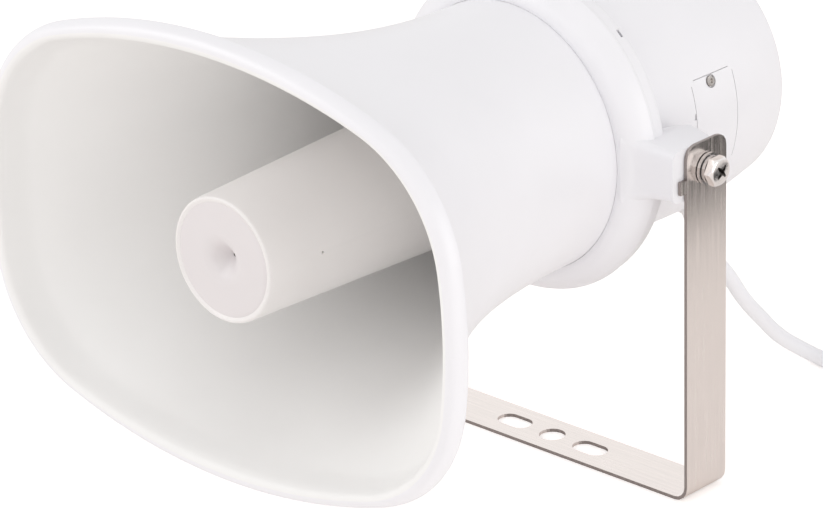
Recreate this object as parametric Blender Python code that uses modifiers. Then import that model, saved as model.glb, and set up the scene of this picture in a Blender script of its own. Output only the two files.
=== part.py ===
"""PA horn speaker: rectangular reflex horn, driver and line transformer on a folded bracket.

Metres, +Z up. The mouth looks along -Y, the lead leaves at the rear. The origin is the middle of
the bracket strip's underside. The horn tilts about the two bolts, along X at PIVOT above it.
"""

import math

import bmesh
import bpy
from mathutils import Matrix, Vector

# Joints and seams
GAP = 0.0003                # left between pieces that touch
PIVOT = 0.129               # height of the bolts above the strip's underside

# Bell
MOUTH_HALF_WIDTH = 0.113
MOUTH_HALF_HEIGHT = 0.0825
MOUTH_TOP_ARC = 0.230       # radius of the bowed top and bottom edges
MOUTH_SIDE_ARC = 0.190      # radius of the bowed sides
MOUTH_CORNER_ARC = 0.054
MOUTH_FRONT = -0.176
LIP_DEPTH = 0.010           # front edge to the end of the flared body
LIP_FLARE = 0.006           # how far the lip stands out over the body
BELL_WALL = 0.0025
NECK_RADIUS = 0.0515
NECK_FRONT = -0.022         # where the bell leaves the collar
AROUND = 40                 # facets round the bell
ROUND_STEPS = 40            # facets round the other large pieces

# Collar with its lugs
COLLAR_FLARE = 0.010        # how far the ring stands out over the neck
COLLAR_RADIUS = NECK_RADIUS + COLLAR_FLARE
COLLAR_STEP = 0.0008        # down to the plain band behind the flare
BAFFLE_REAR = -0.0045
BAFFLE_THICK = 0.0045
BAFFLE_FRONT = BAFFLE_REAR - BAFFLE_THICK
THROAT_RADIUS = 0.009
SPIGOT_STEP = 0.0053        # spigot inside the neck's radius
SPIGOT_RADIUS = NECK_RADIUS - SPIGOT_STEP
SPIGOT_WALL = 0.0015
SPIGOT_END = 0.004
BOSS_RADIUS = 0.0046
BOSS_END = 0.0117
LUG_REACH = 0.0116          # how far the lugs stand out over the ring
LUG_FACE = COLLAR_RADIUS + LUG_REACH
LUG_FOOT = NECK_RADIUS + 0.0015
LUG_Y = (-0.017, 0.0115)
LUG_TAPER = 0.005           # how much its bowed back narrows towards the face
LUG_WAIST = 0.0107          # how much it narrows towards the drum
LUG_HALF_HEIGHT = 0.010
LUG_EDGE = 0.0035           # rounding of its long edges
LUG_FILLET = 0.005          # how far its foot spreads over the ring

# Rear housing
RIM_WALL = 0.003            # drum's front rim over the spigot
RIM_RADIUS = SPIGOT_RADIUS + RIM_WALL
DRUM_BULGE = 0.0017         # widest place over the rim, at DRUM_WIDEST
DRUM_RADIUS = RIM_RADIUS + DRUM_BULGE
DRUM_WIDEST = 0.043
DRUM_TAIL = 0.036           # from the widest place to the rear
DRUM_REAR = DRUM_WIDEST + DRUM_TAIL
DRUM_WALL = 0.0026
POST_INSET = 0.0072         # housing screws inside the spigot
POST_CIRCLE = SPIGOT_RADIUS - POST_INSET
POST_RADIUS = 0.006
WELL_FLOOR = BOSS_END + 0.0103
COVER_Y = (DRUM_WIDEST - 0.019, DRUM_WIDEST + 0.004)
COVER_HALF_HEIGHT = 0.0187
COVER_THICK = 0.0014
WINDOW_Y = (COVER_Y[0] + 0.0045, COVER_Y[1] - 0.0045)
WINDOW_HALF_HEIGHT = 0.0135

# Reflector and throat tube
CUP_FRONT = -0.170
CUP_FRONT_RADIUS = 0.0231
CUP_REAR_RADIUS = 0.028
CUP_REAR = -0.030
CUP_WALL = 0.002
FIN_THICK = 0.0025
TUBE_FRONT = -0.150
TUBE_FRONT_RADIUS = 0.0165
TUBE_REAR_RADIUS = 0.0122

# Driver
DRIVER_RADIUS = POST_CIRCLE - BOSS_RADIUS - 0.0004
DRIVER_SCREW_CIRCLE = DRIVER_RADIUS - 0.003
MAGNET_RADIUS = DRIVER_SCREW_CIRCLE - 0.003
DOME_RADIUS = 0.68 * MAGNET_RADIUS
DRIVER_FRONT_THICK = 0.0069
TOP_PLATE_THICK = 0.005
MAGNET_LENGTH = 0.012
YOKE_THICK = 0.005
CORE_HALF_WIDTH = 0.021
CORE_HALF_HEIGHT = 0.0175
CORE_STACK = 0.014
LIMB_HALF_WIDTH = CORE_HALF_WIDTH / 3

# Bracket
STRIP_WIDTH = 0.022
STRIP_THICK = 0.0013
BRACKET_HALF_WIDTH = LUG_FACE + GAP + STRIP_THICK
BEND_RADIUS = 0.006
ARM_OVER_PIVOT = 0.0107
ARM_CORNER = 0.005
SLOT_LENGTH = 0.0148
SLOT_WIDTH = 0.0090
SLOT_PLACE = 0.0187
MIDDLE_HOLE = 0.0100

# Bolts, M6
BOLT_RADIUS = 0.0029
BOLT_HOLE = 0.0033
HEX_ACROSS = 0.010
HEAD_FACE = 0.0072          # outer face of the head, beyond the arm
WASHER_THICK = 0.0011
WASHER_RADIUS = 0.006
SPRING_THICK = 0.0014
SPRING_RADIUS = 0.0052
INSERT_RADIUS = 0.0046
INSERT_LENGTH = 0.012

# Lead
CABLE_RADIUS = 0.003
GLAND_ANGLE = -68.0         # degrees round the drum, 0 towards +X
GLAND_Y = DRUM_REAR - 0.019
GLAND_LENGTH = 0.0225
GLAND_END = SPIGOT_RADIUS + 0.0003 + GLAND_LENGTH
COIL_RADIUS = 0.033         # middle of the turns
COIL_SECTION = 0.012
COIL_PLACE = (0.080, 0.149)
CORE_RADIUS = 0.0011


def clear_scene():
    """Empties the file."""
    for obj in list(bpy.data.objects):
        bpy.data.objects.remove(obj, do_unlink=True)
    for group in list(bpy.data.collections):
        bpy.data.collections.remove(group)


clear_scene()
PART = bpy.data.collections.new("pa_horn_speaker")
CUTTERS = bpy.data.collections.new("cutters")
bpy.context.scene.collection.children.link(PART)
bpy.context.scene.collection.children.link(CUTTERS)
CUTTERS.hide_render = True

AXIS = bpy.data.objects.new("horn_pivot", None)
AXIS.location = (0, 0, PIVOT)
PART.objects.link(AXIS)


def material(name, color, metallic, roughness):
    """Makes one Principled material."""
    mat = bpy.data.materials.new(name)
    mat.use_nodes = True
    shader = mat.node_tree.nodes["Principled BSDF"]
    shader.inputs["Base Color"].default_value = (*color, 1.0)
    shader.inputs["Metallic"].default_value = metallic
    shader.inputs["Roughness"].default_value = roughness
    mat.diffuse_color = (*color, 1.0)
    return mat


def place(obj, look=None, moves=True):
    """Links a piece to the part, or a cutter where no look is given."""
    if look is None:
        CUTTERS.objects.link(obj)
        obj.hide_render = True
        obj.display_type = "WIRE"
        return obj
    PART.objects.link(obj)
    obj.data.materials.append(material(obj.name, *look))
    if moves:
        obj.parent = AXIS
        obj.matrix_parent_inverse = Matrix.Translation((0, 0, -PIVOT))
    return obj


def turned(name, profile, look=None, steps=48, at=(0, 0, PIVOT), tilt=(-90, 0, 0)):
    """Turns a closed section of (radius, height) points; height runs along Y unless tilted."""
    pairs = zip(profile, profile[1:] + profile[:1])
    area = sum(a[0] * b[1] - b[0] * a[1] for a, b in pairs)
    points = list(profile) if area < 0 else list(reversed(profile))
    count = len(points)
    edges = [(i, (i + 1) % count) for i in range(count)]
    edges = [e for e in edges if points[e[0]][0] > 0 or points[e[1]][0] > 0]
    mesh = bpy.data.meshes.new(name)
    mesh.from_pydata([(r, 0, h) for r, h in points], edges, [])
    obj = bpy.data.objects.new(name, mesh)
    obj.location = at
    obj.rotation_euler = [math.radians(a) for a in tilt]
    screw = obj.modifiers.new("turn", "SCREW")
    screw.axis = "Z"
    screw.angle = math.tau
    screw.steps = steps
    screw.render_steps = steps
    screw.use_merge_vertices = True
    screw.merge_threshold = 0.00002
    screw.use_smooth_shade = False
    return place(obj, look)


def from_bmesh(name, bm, look=None, moves=True):
    """Makes an object of a bmesh."""
    mesh = bpy.data.meshes.new(name)
    bm.to_mesh(mesh)
    bm.free()
    return place(bpy.data.objects.new(name, mesh), look, moves)


def block(name, low, high, look=None, moves=True, turn=0.0):
    """Box between two corners given from the pivot, turned by degrees about the drum's axis."""
    middle = [(a + b) / 2 for a, b in zip(low, high)]
    size = [b - a for a, b in zip(low, high)]
    bm = bmesh.new()
    matrix = Matrix.Translation((0, 0, PIVOT)) @ Matrix.Rotation(math.radians(-turn), 4, "Y")
    matrix = matrix @ Matrix.Translation(middle) @ Matrix.Diagonal((*size, 1))
    bmesh.ops.create_cube(bm, size=1.0, matrix=matrix)
    return from_bmesh(name, bm, look, moves)


def rods(name, centres, radius, start, end, look=None, steps=12):
    """Plain cylinders along Y, one at each (x, z) from the pivot."""
    bm = bmesh.new()
    for x, z in centres:
        matrix = Matrix.Translation((x, (start + end) / 2, PIVOT + z))
        matrix = matrix @ Matrix.Rotation(math.radians(90), 4, "X")
        bmesh.ops.create_cone(bm, cap_ends=True, segments=steps, radius1=radius, radius2=radius,
                              depth=end - start, matrix=matrix)
    return from_bmesh(name, bm, look)


def combine(target, tool, operation="DIFFERENCE"):
    """Cuts a tool out of a piece, or joins or intersects the two."""
    mod = target.modifiers.new(tool.name, "BOOLEAN")
    mod.operation = operation
    mod.solver = "EXACT"
    mod.object = tool
    return target


def ring_points(radius, count=4, first=45.0):
    """Centres spread round the drum's axis."""
    angles = [math.radians(first + 360.0 * i / count) for i in range(count)]
    return [(radius * math.cos(a), radius * math.sin(a)) for a in angles]


WHITE = ((0.86, 0.87, 0.89), 0.0, 0.42)
WARM_WHITE = ((0.86, 0.86, 0.85), 0.0, 0.42)
STAINLESS = ((0.62, 0.60, 0.56), 1.0, 0.32)
STEEL = ((0.70, 0.70, 0.70), 1.0, 0.22)
ZINC = ((0.60, 0.61, 0.62), 1.0, 0.35)
BRASS = ((0.71, 0.53, 0.24), 1.0, 0.30)
RUBBER = ((0.03, 0.03, 0.03), 0.0, 0.75)
BLACK = ((0.04, 0.04, 0.045), 0.0, 0.5)
FERRITE = ((0.09, 0.09, 0.10), 0.0, 0.6)
COPPER = ((0.72, 0.36, 0.20), 1.0, 0.35)
IRON = ((0.25, 0.25, 0.27), 1.0, 0.45)
FOAM = ((0.10, 0.10, 0.11), 0.0, 0.9)
SHEET = ((0.55, 0.36, 0.20), 0.0, 0.5)


# Bell
def mouth_radius(angle):
    """Distance from the axis to the mouth's outer edge, a rounded rectangle of tangent arcs."""
    a, b = MOUTH_HALF_WIDTH, MOUTH_HALF_HEIGHT
    top, side, corner = MOUTH_TOP_ARC, MOUTH_SIDE_ARC, MOUTH_CORNER_ARC
    z1, d1 = b - top, top - corner
    x2, d2 = a - side, side - corner
    span = math.hypot(x2, z1)
    k = (d1 ** 2 - d2 ** 2 + span ** 2) / (2 * span)
    h = math.sqrt(max(d1 ** 2 - k ** 2, 0.0))
    ux, uz = x2 / span, -z1 / span
    ends = [(k * ux - h * uz, z1 + k * uz + h * ux), (k * ux + h * uz, z1 + k * uz - h * ux)]
    cx, cz = max(ends, key=sum)
    c, s = abs(math.cos(angle)), abs(math.sin(angle))
    turn = math.atan2(s, c)
    top_end = math.atan2(cz + corner * (cz - z1) / d1, cx + corner * cx / d1)
    side_end = math.atan2(cz + corner * cz / d2, cx + corner * (cx - x2) / d2)
    if turn > top_end:
        x0, z0, radius = 0.0, z1, top
    elif turn < side_end:
        x0, z0, radius = x2, 0.0, side
    else:
        x0, z0, radius = cx, cz, corner
    reach = c * x0 + s * z0
    return reach + math.sqrt(max(reach * reach - (x0 * x0 + z0 * z0 - radius * radius), 0.0))


MOUTH = [mouth_radius(math.tau * i / 360) for i in range(360)]
MEAN_MOUTH = sum(MOUTH) / len(MOUTH)
BODY_LENGTH = NECK_FRONT - (MOUTH_FRONT + LIP_DEPTH)


def body_radius(t, rim):
    """Outer radius of the flare: round at the neck, as wide as the rim less the lip at t = 1."""
    round_part = (MEAN_MOUTH - LIP_FLARE - NECK_RADIUS) * t ** 2.3
    return NECK_RADIUS + round_part + (rim - MEAN_MOUTH) * t ** 3.5


def bell_section(rim):
    """Closed section of the bell at one angle, from the neck's outside round to its inside."""
    flare = (0.0, 0.18, 0.35, 0.50, 0.64, 0.77, 0.89, 1.0)
    outer = [(NECK_RADIUS, BAFFLE_FRONT - GAP)]
    outer += [(body_radius(t, rim), NECK_FRONT - BODY_LENGTH * t) for t in flare]
    lip = [(-0.0024, 0.0090), (-0.0004, 0.0075), (0.0, 0.0056), (-0.0006, 0.0028),
           (-0.0020, 0.0008), (-0.0043, 0.0), (-0.0063, 0.0009), (-0.0076, 0.0036)]
    edge = [(rim + r, MOUTH_FRONT + y) for r, y in lip]
    inner = []
    for t in reversed(flare):
        step = 0.01
        slope = (body_radius(t, rim) - body_radius(max(t - step, 0.0), rim)) / (BODY_LENGTH * step)
        wall = BELL_WALL * math.sqrt(1.0 + slope * slope)
        inner.append((body_radius(t, rim) - wall, NECK_FRONT - BODY_LENGTH * t))
    inner.append((NECK_RADIUS - BELL_WALL, BAFFLE_FRONT - GAP))
    return outer + edge + inner


bm = bmesh.new()
rings = []
for i in range(AROUND):
    angle = math.tau * i / AROUND
    c, s = math.cos(angle), math.sin(angle)
    rings.append([bm.verts.new((r * c, y, PIVOT + r * s))
                  for r, y in bell_section(mouth_radius(angle))])
for i in range(AROUND):
    here, there = rings[i], rings[(i + 1) % AROUND]
    for j in range(len(here)):
        k = (j + 1) % len(here)
        bm.faces.new((here[j], here[k], there[k], there[j]))
bmesh.ops.recalc_face_normals(bm, faces=bm.faces)
BELL = from_bmesh("bell", bm, WHITE)
for face in BELL.data.polygons:
    face.use_smooth = True


# Reflector, the closed cup in the mouth, on four fins
def cup_radius(y):
    """Outer radius of the cup, tapering towards the mouth."""
    share = (y - CUP_FRONT) / (CUP_REAR - CUP_FRONT)
    return CUP_FRONT_RADIUS + (CUP_REAR_RADIUS - CUP_FRONT_RADIUS) * share


dimple = [(0.0, 0.0072), (0.0008, 0.0066), (0.0022, 0.0046), (0.0042, 0.0024),
          (0.0080, 0.0007)]
CUP = turned("reflector", [(r, CUP_FRONT + y) for r, y in dimple] + [
    (CUP_FRONT_RADIUS - 0.0020, CUP_FRONT + 0.0003), (CUP_FRONT_RADIUS - 0.0013, CUP_FRONT),
    (CUP_FRONT_RADIUS - 0.0004, CUP_FRONT + 0.0005), (CUP_FRONT_RADIUS, CUP_FRONT + 0.0016),
    (CUP_REAR_RADIUS, CUP_REAR), (CUP_REAR_RADIUS - CUP_WALL, CUP_REAR),
    (CUP_FRONT_RADIUS - CUP_WALL, CUP_FRONT + 0.0030), (0.0080, CUP_FRONT + 0.0030),
    (0.0030, CUP_FRONT + 0.0066), (0.0, CUP_FRONT + 0.0094),
], WARM_WHITE, steps=ROUND_STEPS)
fin_reach = NECK_RADIUS - BELL_WALL - GAP
for number in range(4):
    fin = block(f"fin_{number}", (CUP_REAR_RADIUS - 0.0014, -0.042, -FIN_THICK / 2),
                (fin_reach, BAFFLE_FRONT - GAP, FIN_THICK / 2), turn=45.0 + 90.0 * number)
    combine(CUP, fin, "UNION")


# Throat tube on the baffle
flange = BAFFLE_FRONT - GAP
TUBE = turned("throat_tube", [
    (THROAT_RADIUS, flange), (0.022, flange), (0.022, flange - 0.0025),
    (TUBE_REAR_RADIUS, flange - 0.0025), (TUBE_FRONT_RADIUS, TUBE_FRONT),
    (TUBE_FRONT_RADIUS - 0.002, TUBE_FRONT), (TUBE_REAR_RADIUS - 0.002, flange - 0.0025),
], BLACK, steps=18)


# Collar: ring, baffle, spigot, screw bosses and the two lugs, one moulding
COLLAR = turned("collar", [
    (NECK_RADIUS + GAP, NECK_FRONT), (COLLAR_RADIUS - 0.82 * COLLAR_FLARE, NECK_FRONT + 0.0002),
    (COLLAR_RADIUS - 0.48 * COLLAR_FLARE, NECK_FRONT + 0.0020),
    (COLLAR_RADIUS - 0.16 * COLLAR_FLARE, NECK_FRONT + 0.0060),
    (COLLAR_RADIUS, NECK_FRONT + 0.0095), (COLLAR_RADIUS, NECK_FRONT + 0.0107),
    (COLLAR_RADIUS - COLLAR_STEP, NECK_FRONT + 0.0110),
    (COLLAR_RADIUS - COLLAR_STEP, BAFFLE_REAR - 0.0024),
    (COLLAR_RADIUS - 0.0030, BAFFLE_REAR), (SPIGOT_RADIUS, BAFFLE_REAR),
    (SPIGOT_RADIUS, SPIGOT_END), (SPIGOT_RADIUS - SPIGOT_WALL, SPIGOT_END),
    (SPIGOT_RADIUS - SPIGOT_WALL, BAFFLE_REAR), (THROAT_RADIUS, BAFFLE_REAR),
    (THROAT_RADIUS, BAFFLE_FRONT), (NECK_RADIUS + GAP, BAFFLE_FRONT),
], WHITE, steps=ROUND_STEPS)


def lug_section(share):
    """Rounded rectangle of a lug; share runs from its face at 0 to its spread foot at 1."""
    spread = LUG_FILLET * share ** 3
    narrow = LUG_TAPER * max(1.0 - share / 0.7, 0.0) ** 1.3
    narrow += LUG_WAIST * max(share / 0.3 - 7.0 / 3.0, 0.0) ** 1.2
    y0, y1 = LUG_Y[0] - spread, LUG_Y[1] - narrow
    back, front = LUG_HALF_HEIGHT, LUG_HALF_HEIGHT + 0.8 * spread
    points = []
    for cy, cz, first in ((y1, back, 0), (y0, front, 90), (y0, -front, 180), (y1, -back, 270)):
        my = cy - math.copysign(LUG_EDGE, cy - (y0 + y1) / 2)
        mz = cz - math.copysign(LUG_EDGE, cz)
        for step in range(4):
            a = math.radians(first + 30 * step)
            points.append((my + LUG_EDGE * math.cos(a), mz + LUG_EDGE * math.sin(a)))
    return points


for name, side in (("lug_right", 1), ("lug_left", -1)):
    bm = bmesh.new()
    rings = []
    for share in (0.0, 0.25, 0.5, 0.7, 0.85, 1.0):
        x = LUG_FACE + (LUG_FOOT - LUG_FACE) * share
        rings.append([bm.verts.new((side * x, y, PIVOT + z)) for y, z in lug_section(share)])
    for here, there in zip(rings, rings[1:]):
        for j in range(len(here)):
            k = (j + 1) % len(here)
            bm.faces.new((here[j], here[k], there[k], there[j]))
    bm.faces.new(rings[0])
    bm.faces.new(rings[-1])
    bmesh.ops.recalc_face_normals(bm, faces=bm.faces)
    combine(COLLAR, from_bmesh(name, bm), "UNION")
posts = ring_points(POST_CIRCLE)
combine(COLLAR, rods("bosses", posts, BOSS_RADIUS, BAFFLE_REAR - 0.001, BOSS_END), "UNION")
boss_bores = rods("boss_bores", posts, 0.0018, BAFFLE_REAR + 0.0015, BOSS_END + 0.008, steps=8)
combine(COLLAR, boss_bores)
driver_ring = ring_points(DRIVER_SCREW_CIRCLE, first=0.0)
driver_bores = rods("driver_bores", driver_ring, 0.0018, BAFFLE_FRONT + 0.0015, 0.020, steps=8)
combine(COLLAR, driver_bores)
for name, tilt in (("lug_bore_right", (0, 90, 0)), ("lug_bore_left", (0, -90, 0))):
    bore = turned(name, [
        (0.0, LUG_FACE - INSERT_LENGTH - 0.0051),
        (BOLT_HOLE, LUG_FACE - INSERT_LENGTH - 0.0051),
        (BOLT_HOLE, LUG_FACE - INSERT_LENGTH - GAP),
        (INSERT_RADIUS + GAP, LUG_FACE - INSERT_LENGTH - GAP),
        (INSERT_RADIUS + GAP, LUG_FACE + 0.007), (0.0, LUG_FACE + 0.007),
    ], steps=24, tilt=tilt)
    combine(COLLAR, bore)
combine(COLLAR, block("latch_slot", (COLLAR_RADIUS - 0.007, BAFFLE_REAR - 0.0017, -0.0014),
                      (COLLAR_RADIUS - 0.0009, BAFFLE_REAR + 0.001, 0.0014), turn=48))


# Rear housing: drum with screw posts, window and pad for the side cover
RIM = BAFFLE_REAR + GAP
SEAL_RADIUS = SPIGOT_RADIUS + 0.0015
SEAL_END = RIM + 0.0029
HOUSING = turned("rear_housing", [
    (SEAL_RADIUS + GAP, RIM), (RIM_RADIUS, RIM), (RIM_RADIUS + 0.0004, SPIGOT_END),
    (DRUM_RADIUS - 0.0004, COVER_Y[0]), (DRUM_RADIUS, DRUM_WIDEST),
    (DRUM_RADIUS - 0.0010, DRUM_REAR - 0.0190),
    (DRUM_RADIUS - 0.0035, DRUM_REAR - 0.0022), (DRUM_RADIUS - 0.0049, DRUM_REAR - 0.0006),
    (DRUM_RADIUS - 0.0069, DRUM_REAR), (0.0, DRUM_REAR), (0.0, DRUM_REAR - DRUM_WALL),
    (DRUM_RADIUS - 0.0042 - DRUM_WALL, DRUM_REAR - DRUM_WALL),
    (DRUM_RADIUS - 0.0010 - DRUM_WALL, DRUM_REAR - 0.0190),
    (DRUM_RADIUS - DRUM_WALL, DRUM_WIDEST), (DRUM_RADIUS - 0.0004 - DRUM_WALL, COVER_Y[0]),
    (RIM_RADIUS + 0.0005 - DRUM_WALL, SPIGOT_END), (SPIGOT_RADIUS + 0.0004, SEAL_END + GAP),
    (SEAL_RADIUS + GAP, SEAL_END + GAP),
], WHITE, steps=ROUND_STEPS)
pad_inner = DRUM_RADIUS - 0.0054
pad_outer = DRUM_RADIUS - 0.0021
pad = turned("pad", [(pad_inner, COVER_Y[0] - 0.0035), (pad_outer, COVER_Y[0] - 0.0035),
                     (pad_outer, COVER_Y[1] + 0.0035), (pad_inner, COVER_Y[1] + 0.0035)],
             steps=ROUND_STEPS)
pad_limit = block("pad_limit", (0.5 * DRUM_RADIUS, 0.0, -COVER_HALF_HEIGHT - 0.0035),
                  (2 * DRUM_RADIUS, DRUM_REAR, COVER_HALF_HEIGHT + 0.0035))
combine(pad, pad_limit, "INTERSECT")
combine(HOUSING, pad, "UNION")
combine(HOUSING, rods("posts", posts, POST_RADIUS, BOSS_END + GAP, DRUM_REAR - 0.001), "UNION")
combine(HOUSING, rods("post_bores", posts, 0.0018, BOSS_END - 0.001, BOSS_END + 0.018, steps=8))
combine(HOUSING, rods("post_wells", posts, 0.0042, WELL_FLOOR, DRUM_REAR + 0.002))


def cover_ring(name, spare, depth, look=None):
    """Ring that follows the drum's outside over the side cover's length."""
    y0, y1 = COVER_Y[0] + spare, COVER_Y[1] - spare
    lift = 0.0 if look else 0.003
    inner = DRUM_RADIUS - 0.0001 - depth
    return turned(name, [
        (inner, y0), (DRUM_RADIUS - 0.0004 + lift, y0), (DRUM_RADIUS + lift, DRUM_WIDEST),
        (DRUM_RADIUS - 0.0001 + lift, y1), (inner, y1),
    ], look, steps=ROUND_STEPS)


recess = cover_ring("recess", 0.0, COVER_THICK)
combine(recess, block("recess_limit", (0.5 * DRUM_RADIUS, 0.0, -COVER_HALF_HEIGHT),
                      (2 * DRUM_RADIUS, DRUM_REAR, COVER_HALF_HEIGHT)), "INTERSECT")
combine(HOUSING, recess)
combine(HOUSING, block("window", (pad_inner - 0.006, WINDOW_Y[0], -WINDOW_HALF_HEIGHT),
                        (2 * DRUM_RADIUS, WINDOW_Y[1], WINDOW_HALF_HEIGHT)))
combine(HOUSING, block("cover_notch", (DRUM_RADIUS - 0.0012, COVER_Y[0] - 0.0013, 0.0060),
                       (DRUM_RADIUS + 0.002, COVER_Y[0] + 0.0001, 0.0080)))
gland_tilt = (0, 90.0 - GLAND_ANGLE, 0)
combine(HOUSING, turned("gland_hole", [(0.0, SPIGOT_RADIUS - 0.006),
                                       (0.0050, SPIGOT_RADIUS - 0.006),
                                       (0.0050, DRUM_RADIUS + 0.005), (0.0, DRUM_RADIUS + 0.005)],
                        steps=20, at=(0, GLAND_Y, PIVOT), tilt=gland_tilt))
COVER_SCREW_ANGLE = math.degrees(math.asin((COVER_HALF_HEIGHT - 0.0025) / DRUM_RADIUS))
cover_screw_y = COVER_Y[0] + 0.0105
for number, angle in enumerate((COVER_SCREW_ANGLE, -COVER_SCREW_ANGLE)):
    hole = turned(f"cover_pilot_{number}", [
        (0.0, pad_inner + 0.0006), (0.0013, pad_inner + 0.0006), (0.0013, DRUM_RADIUS + 0.003),
        (0.0, DRUM_RADIUS + 0.003),
    ], steps=12, at=(0, cover_screw_y, PIVOT), tilt=(0, 90.0 - angle, 0))
    combine(HOUSING, hole)


# Side cover with its two screws
COVER = cover_ring("side_cover", GAP, COVER_THICK - GAP, WHITE)
combine(COVER, block("cover_limit", (0.5 * DRUM_RADIUS, 0.0, -COVER_HALF_HEIGHT + GAP),
                     (2 * DRUM_RADIUS, DRUM_REAR, COVER_HALF_HEIGHT - GAP)), "INTERSECT")
for number, angle in enumerate((COVER_SCREW_ANGLE, -COVER_SCREW_ANGLE)):
    hole = turned(f"cover_hole_{number}", [
        (0.0, pad_inner), (0.0015, pad_inner), (0.0015, DRUM_RADIUS - 0.0009),
        (0.0024, DRUM_RADIUS - 0.0009), (0.0024, DRUM_RADIUS + 0.003), (0.0, DRUM_RADIUS + 0.003),
    ], steps=12, at=(0, cover_screw_y, PIVOT), tilt=(0, 90.0 - angle, 0))
    combine(COVER, hole)


def screws(name, profile, places):
    """Equal turned screws, one at each (name, place, tilt)."""
    for end, at, tilt in places:
        turned(f"{name}_{end}", profile, ZINC, 10, at, tilt)


screws("side_cover_screw", [
    (0.0, DRUM_RADIUS - 0.0042), (0.0010, DRUM_RADIUS - 0.0042), (0.0010, DRUM_RADIUS - 0.0006),
    (0.0020, DRUM_RADIUS - 0.0006), (0.0020, DRUM_RADIUS), (0.0015, DRUM_RADIUS + 0.0005),
    (0.0009, DRUM_RADIUS + 0.0005), (0.0005, DRUM_RADIUS - 0.0002), (0.0, DRUM_RADIUS - 0.0002),
], [("upper", (0, cover_screw_y, PIVOT), (0, 90.0 - COVER_SCREW_ANGLE, 0)),
    ("lower", (0, cover_screw_y, PIVOT), (0, 90.0 + COVER_SCREW_ANGLE, 0))])


# Seal and screws of the rear housing
SEAL = turned("housing_seal", [
    (SPIGOT_RADIUS + GAP, RIM), (SEAL_RADIUS, RIM), (SEAL_RADIUS, SEAL_END),
    (SPIGOT_RADIUS + GAP, SEAL_END),
], RUBBER, steps=32)
well = WELL_FLOOR + GAP
screws("housing_screw", [
    (0.0, BAFFLE_REAR + 0.0020), (0.0015, BAFFLE_REAR + 0.0025), (0.0015, well), (0.0036, well), (0.0036, well + 0.0016),
    (0.0, well + 0.0026),
], [(i + 1, (x, 0, PIVOT + z), (-90, 0, 0)) for i, (x, z) in enumerate(posts)])


# Driver, from the throat to the rear
gasket = BAFFLE_REAR + GAP
GASKET = turned("driver_gasket", [
    (THROAT_RADIUS + 0.001, gasket), (DRIVER_RADIUS, gasket), (DRIVER_RADIUS, gasket + 0.001),
    (THROAT_RADIUS + 0.001, gasket + 0.001),
], FOAM, steps=18)
front = gasket + 0.001 + GAP
film = front + DRIVER_FRONT_THICK + GAP
FRONT = turned("driver_front", [
    (THROAT_RADIUS, front), (DRIVER_RADIUS, front), (DRIVER_RADIUS, film - GAP),
    (DOME_RADIUS + 0.0012, film - GAP), (DOME_RADIUS - 0.0005, film - 0.0017),
    (THROAT_RADIUS, film - 0.0039),
], BLACK, steps=18)
DIAPHRAGM = turned("diaphragm", [
    (0.0, film - 0.0031), (0.34 * DOME_RADIUS, film - 0.0028), (0.66 * DOME_RADIUS, film - 0.0017),
    (DOME_RADIUS, film), (DRIVER_RADIUS - 0.0002, film), (DRIVER_RADIUS - 0.0002, film + 0.0005),
    (DOME_RADIUS, film + 0.0005), (0.66 * DOME_RADIUS, film - 0.0012),
    (0.34 * DOME_RADIUS, film - 0.0023), (0.0, film - 0.0026),
], SHEET, steps=18)
coil = film + 0.0005 + GAP
ring_end = coil + 0.0008
plate = ring_end + GAP
plate_end = plate + TOP_PLATE_THICK
VOICE_COIL = turned("voice_coil", [
    (DOME_RADIUS - 0.0002, coil), (DOME_RADIUS + 0.0008, coil),
    (DOME_RADIUS + 0.0008, plate_end - 0.0007), (DOME_RADIUS - 0.0002, plate_end - 0.0007),
], COPPER, steps=18)
RING = turned("diaphragm_ring", [
    (MAGNET_RADIUS - 0.001, coil), (DRIVER_RADIUS, coil), (DRIVER_RADIUS, ring_end),
    (MAGNET_RADIUS - 0.001, ring_end),
], BLACK, steps=18)
TOP_PLATE = turned("top_plate", [
    (DOME_RADIUS + 0.0013, plate), (DRIVER_RADIUS, plate), (DRIVER_RADIUS, plate_end),
    (DOME_RADIUS + 0.0013, plate_end),
], IRON, steps=18)
magnet_end = plate_end + GAP + MAGNET_LENGTH
MAGNET = turned("magnet", [
    (DOME_RADIUS + 0.0015, plate_end + GAP), (MAGNET_RADIUS - 0.0005, plate_end + GAP),
    (MAGNET_RADIUS, plate_end + GAP + 0.0005), (MAGNET_RADIUS, magnet_end - 0.0005),
    (MAGNET_RADIUS - 0.0005, magnet_end), (DOME_RADIUS + 0.0015, magnet_end),
], FERRITE, steps=18)
pole = DOME_RADIUS - 0.0006
YOKE = turned("yoke", [
    (0.0, plate), (pole, plate), (pole, magnet_end + GAP), (MAGNET_RADIUS, magnet_end + GAP),
    (MAGNET_RADIUS, magnet_end + GAP + YOKE_THICK), (0.0, magnet_end + GAP + YOKE_THICK),
], IRON, steps=18)
for piece in (GASKET, FRONT, DIAPHRAGM, RING, TOP_PLATE):
    combine(piece, driver_bores)
screws("driver_screw", [
    (0.0, BAFFLE_FRONT + 0.0018), (0.0015, BAFFLE_FRONT + 0.0022), (0.0015, plate_end + GAP),
    (0.0027, plate_end + GAP), (0.0027, plate_end + GAP + 0.0015), (0.0, plate_end + 0.0026),
], [(i + 1, (x, 0, PIVOT + z), (-90, 0, 0)) for i, (x, z) in enumerate(driver_ring)])


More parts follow.
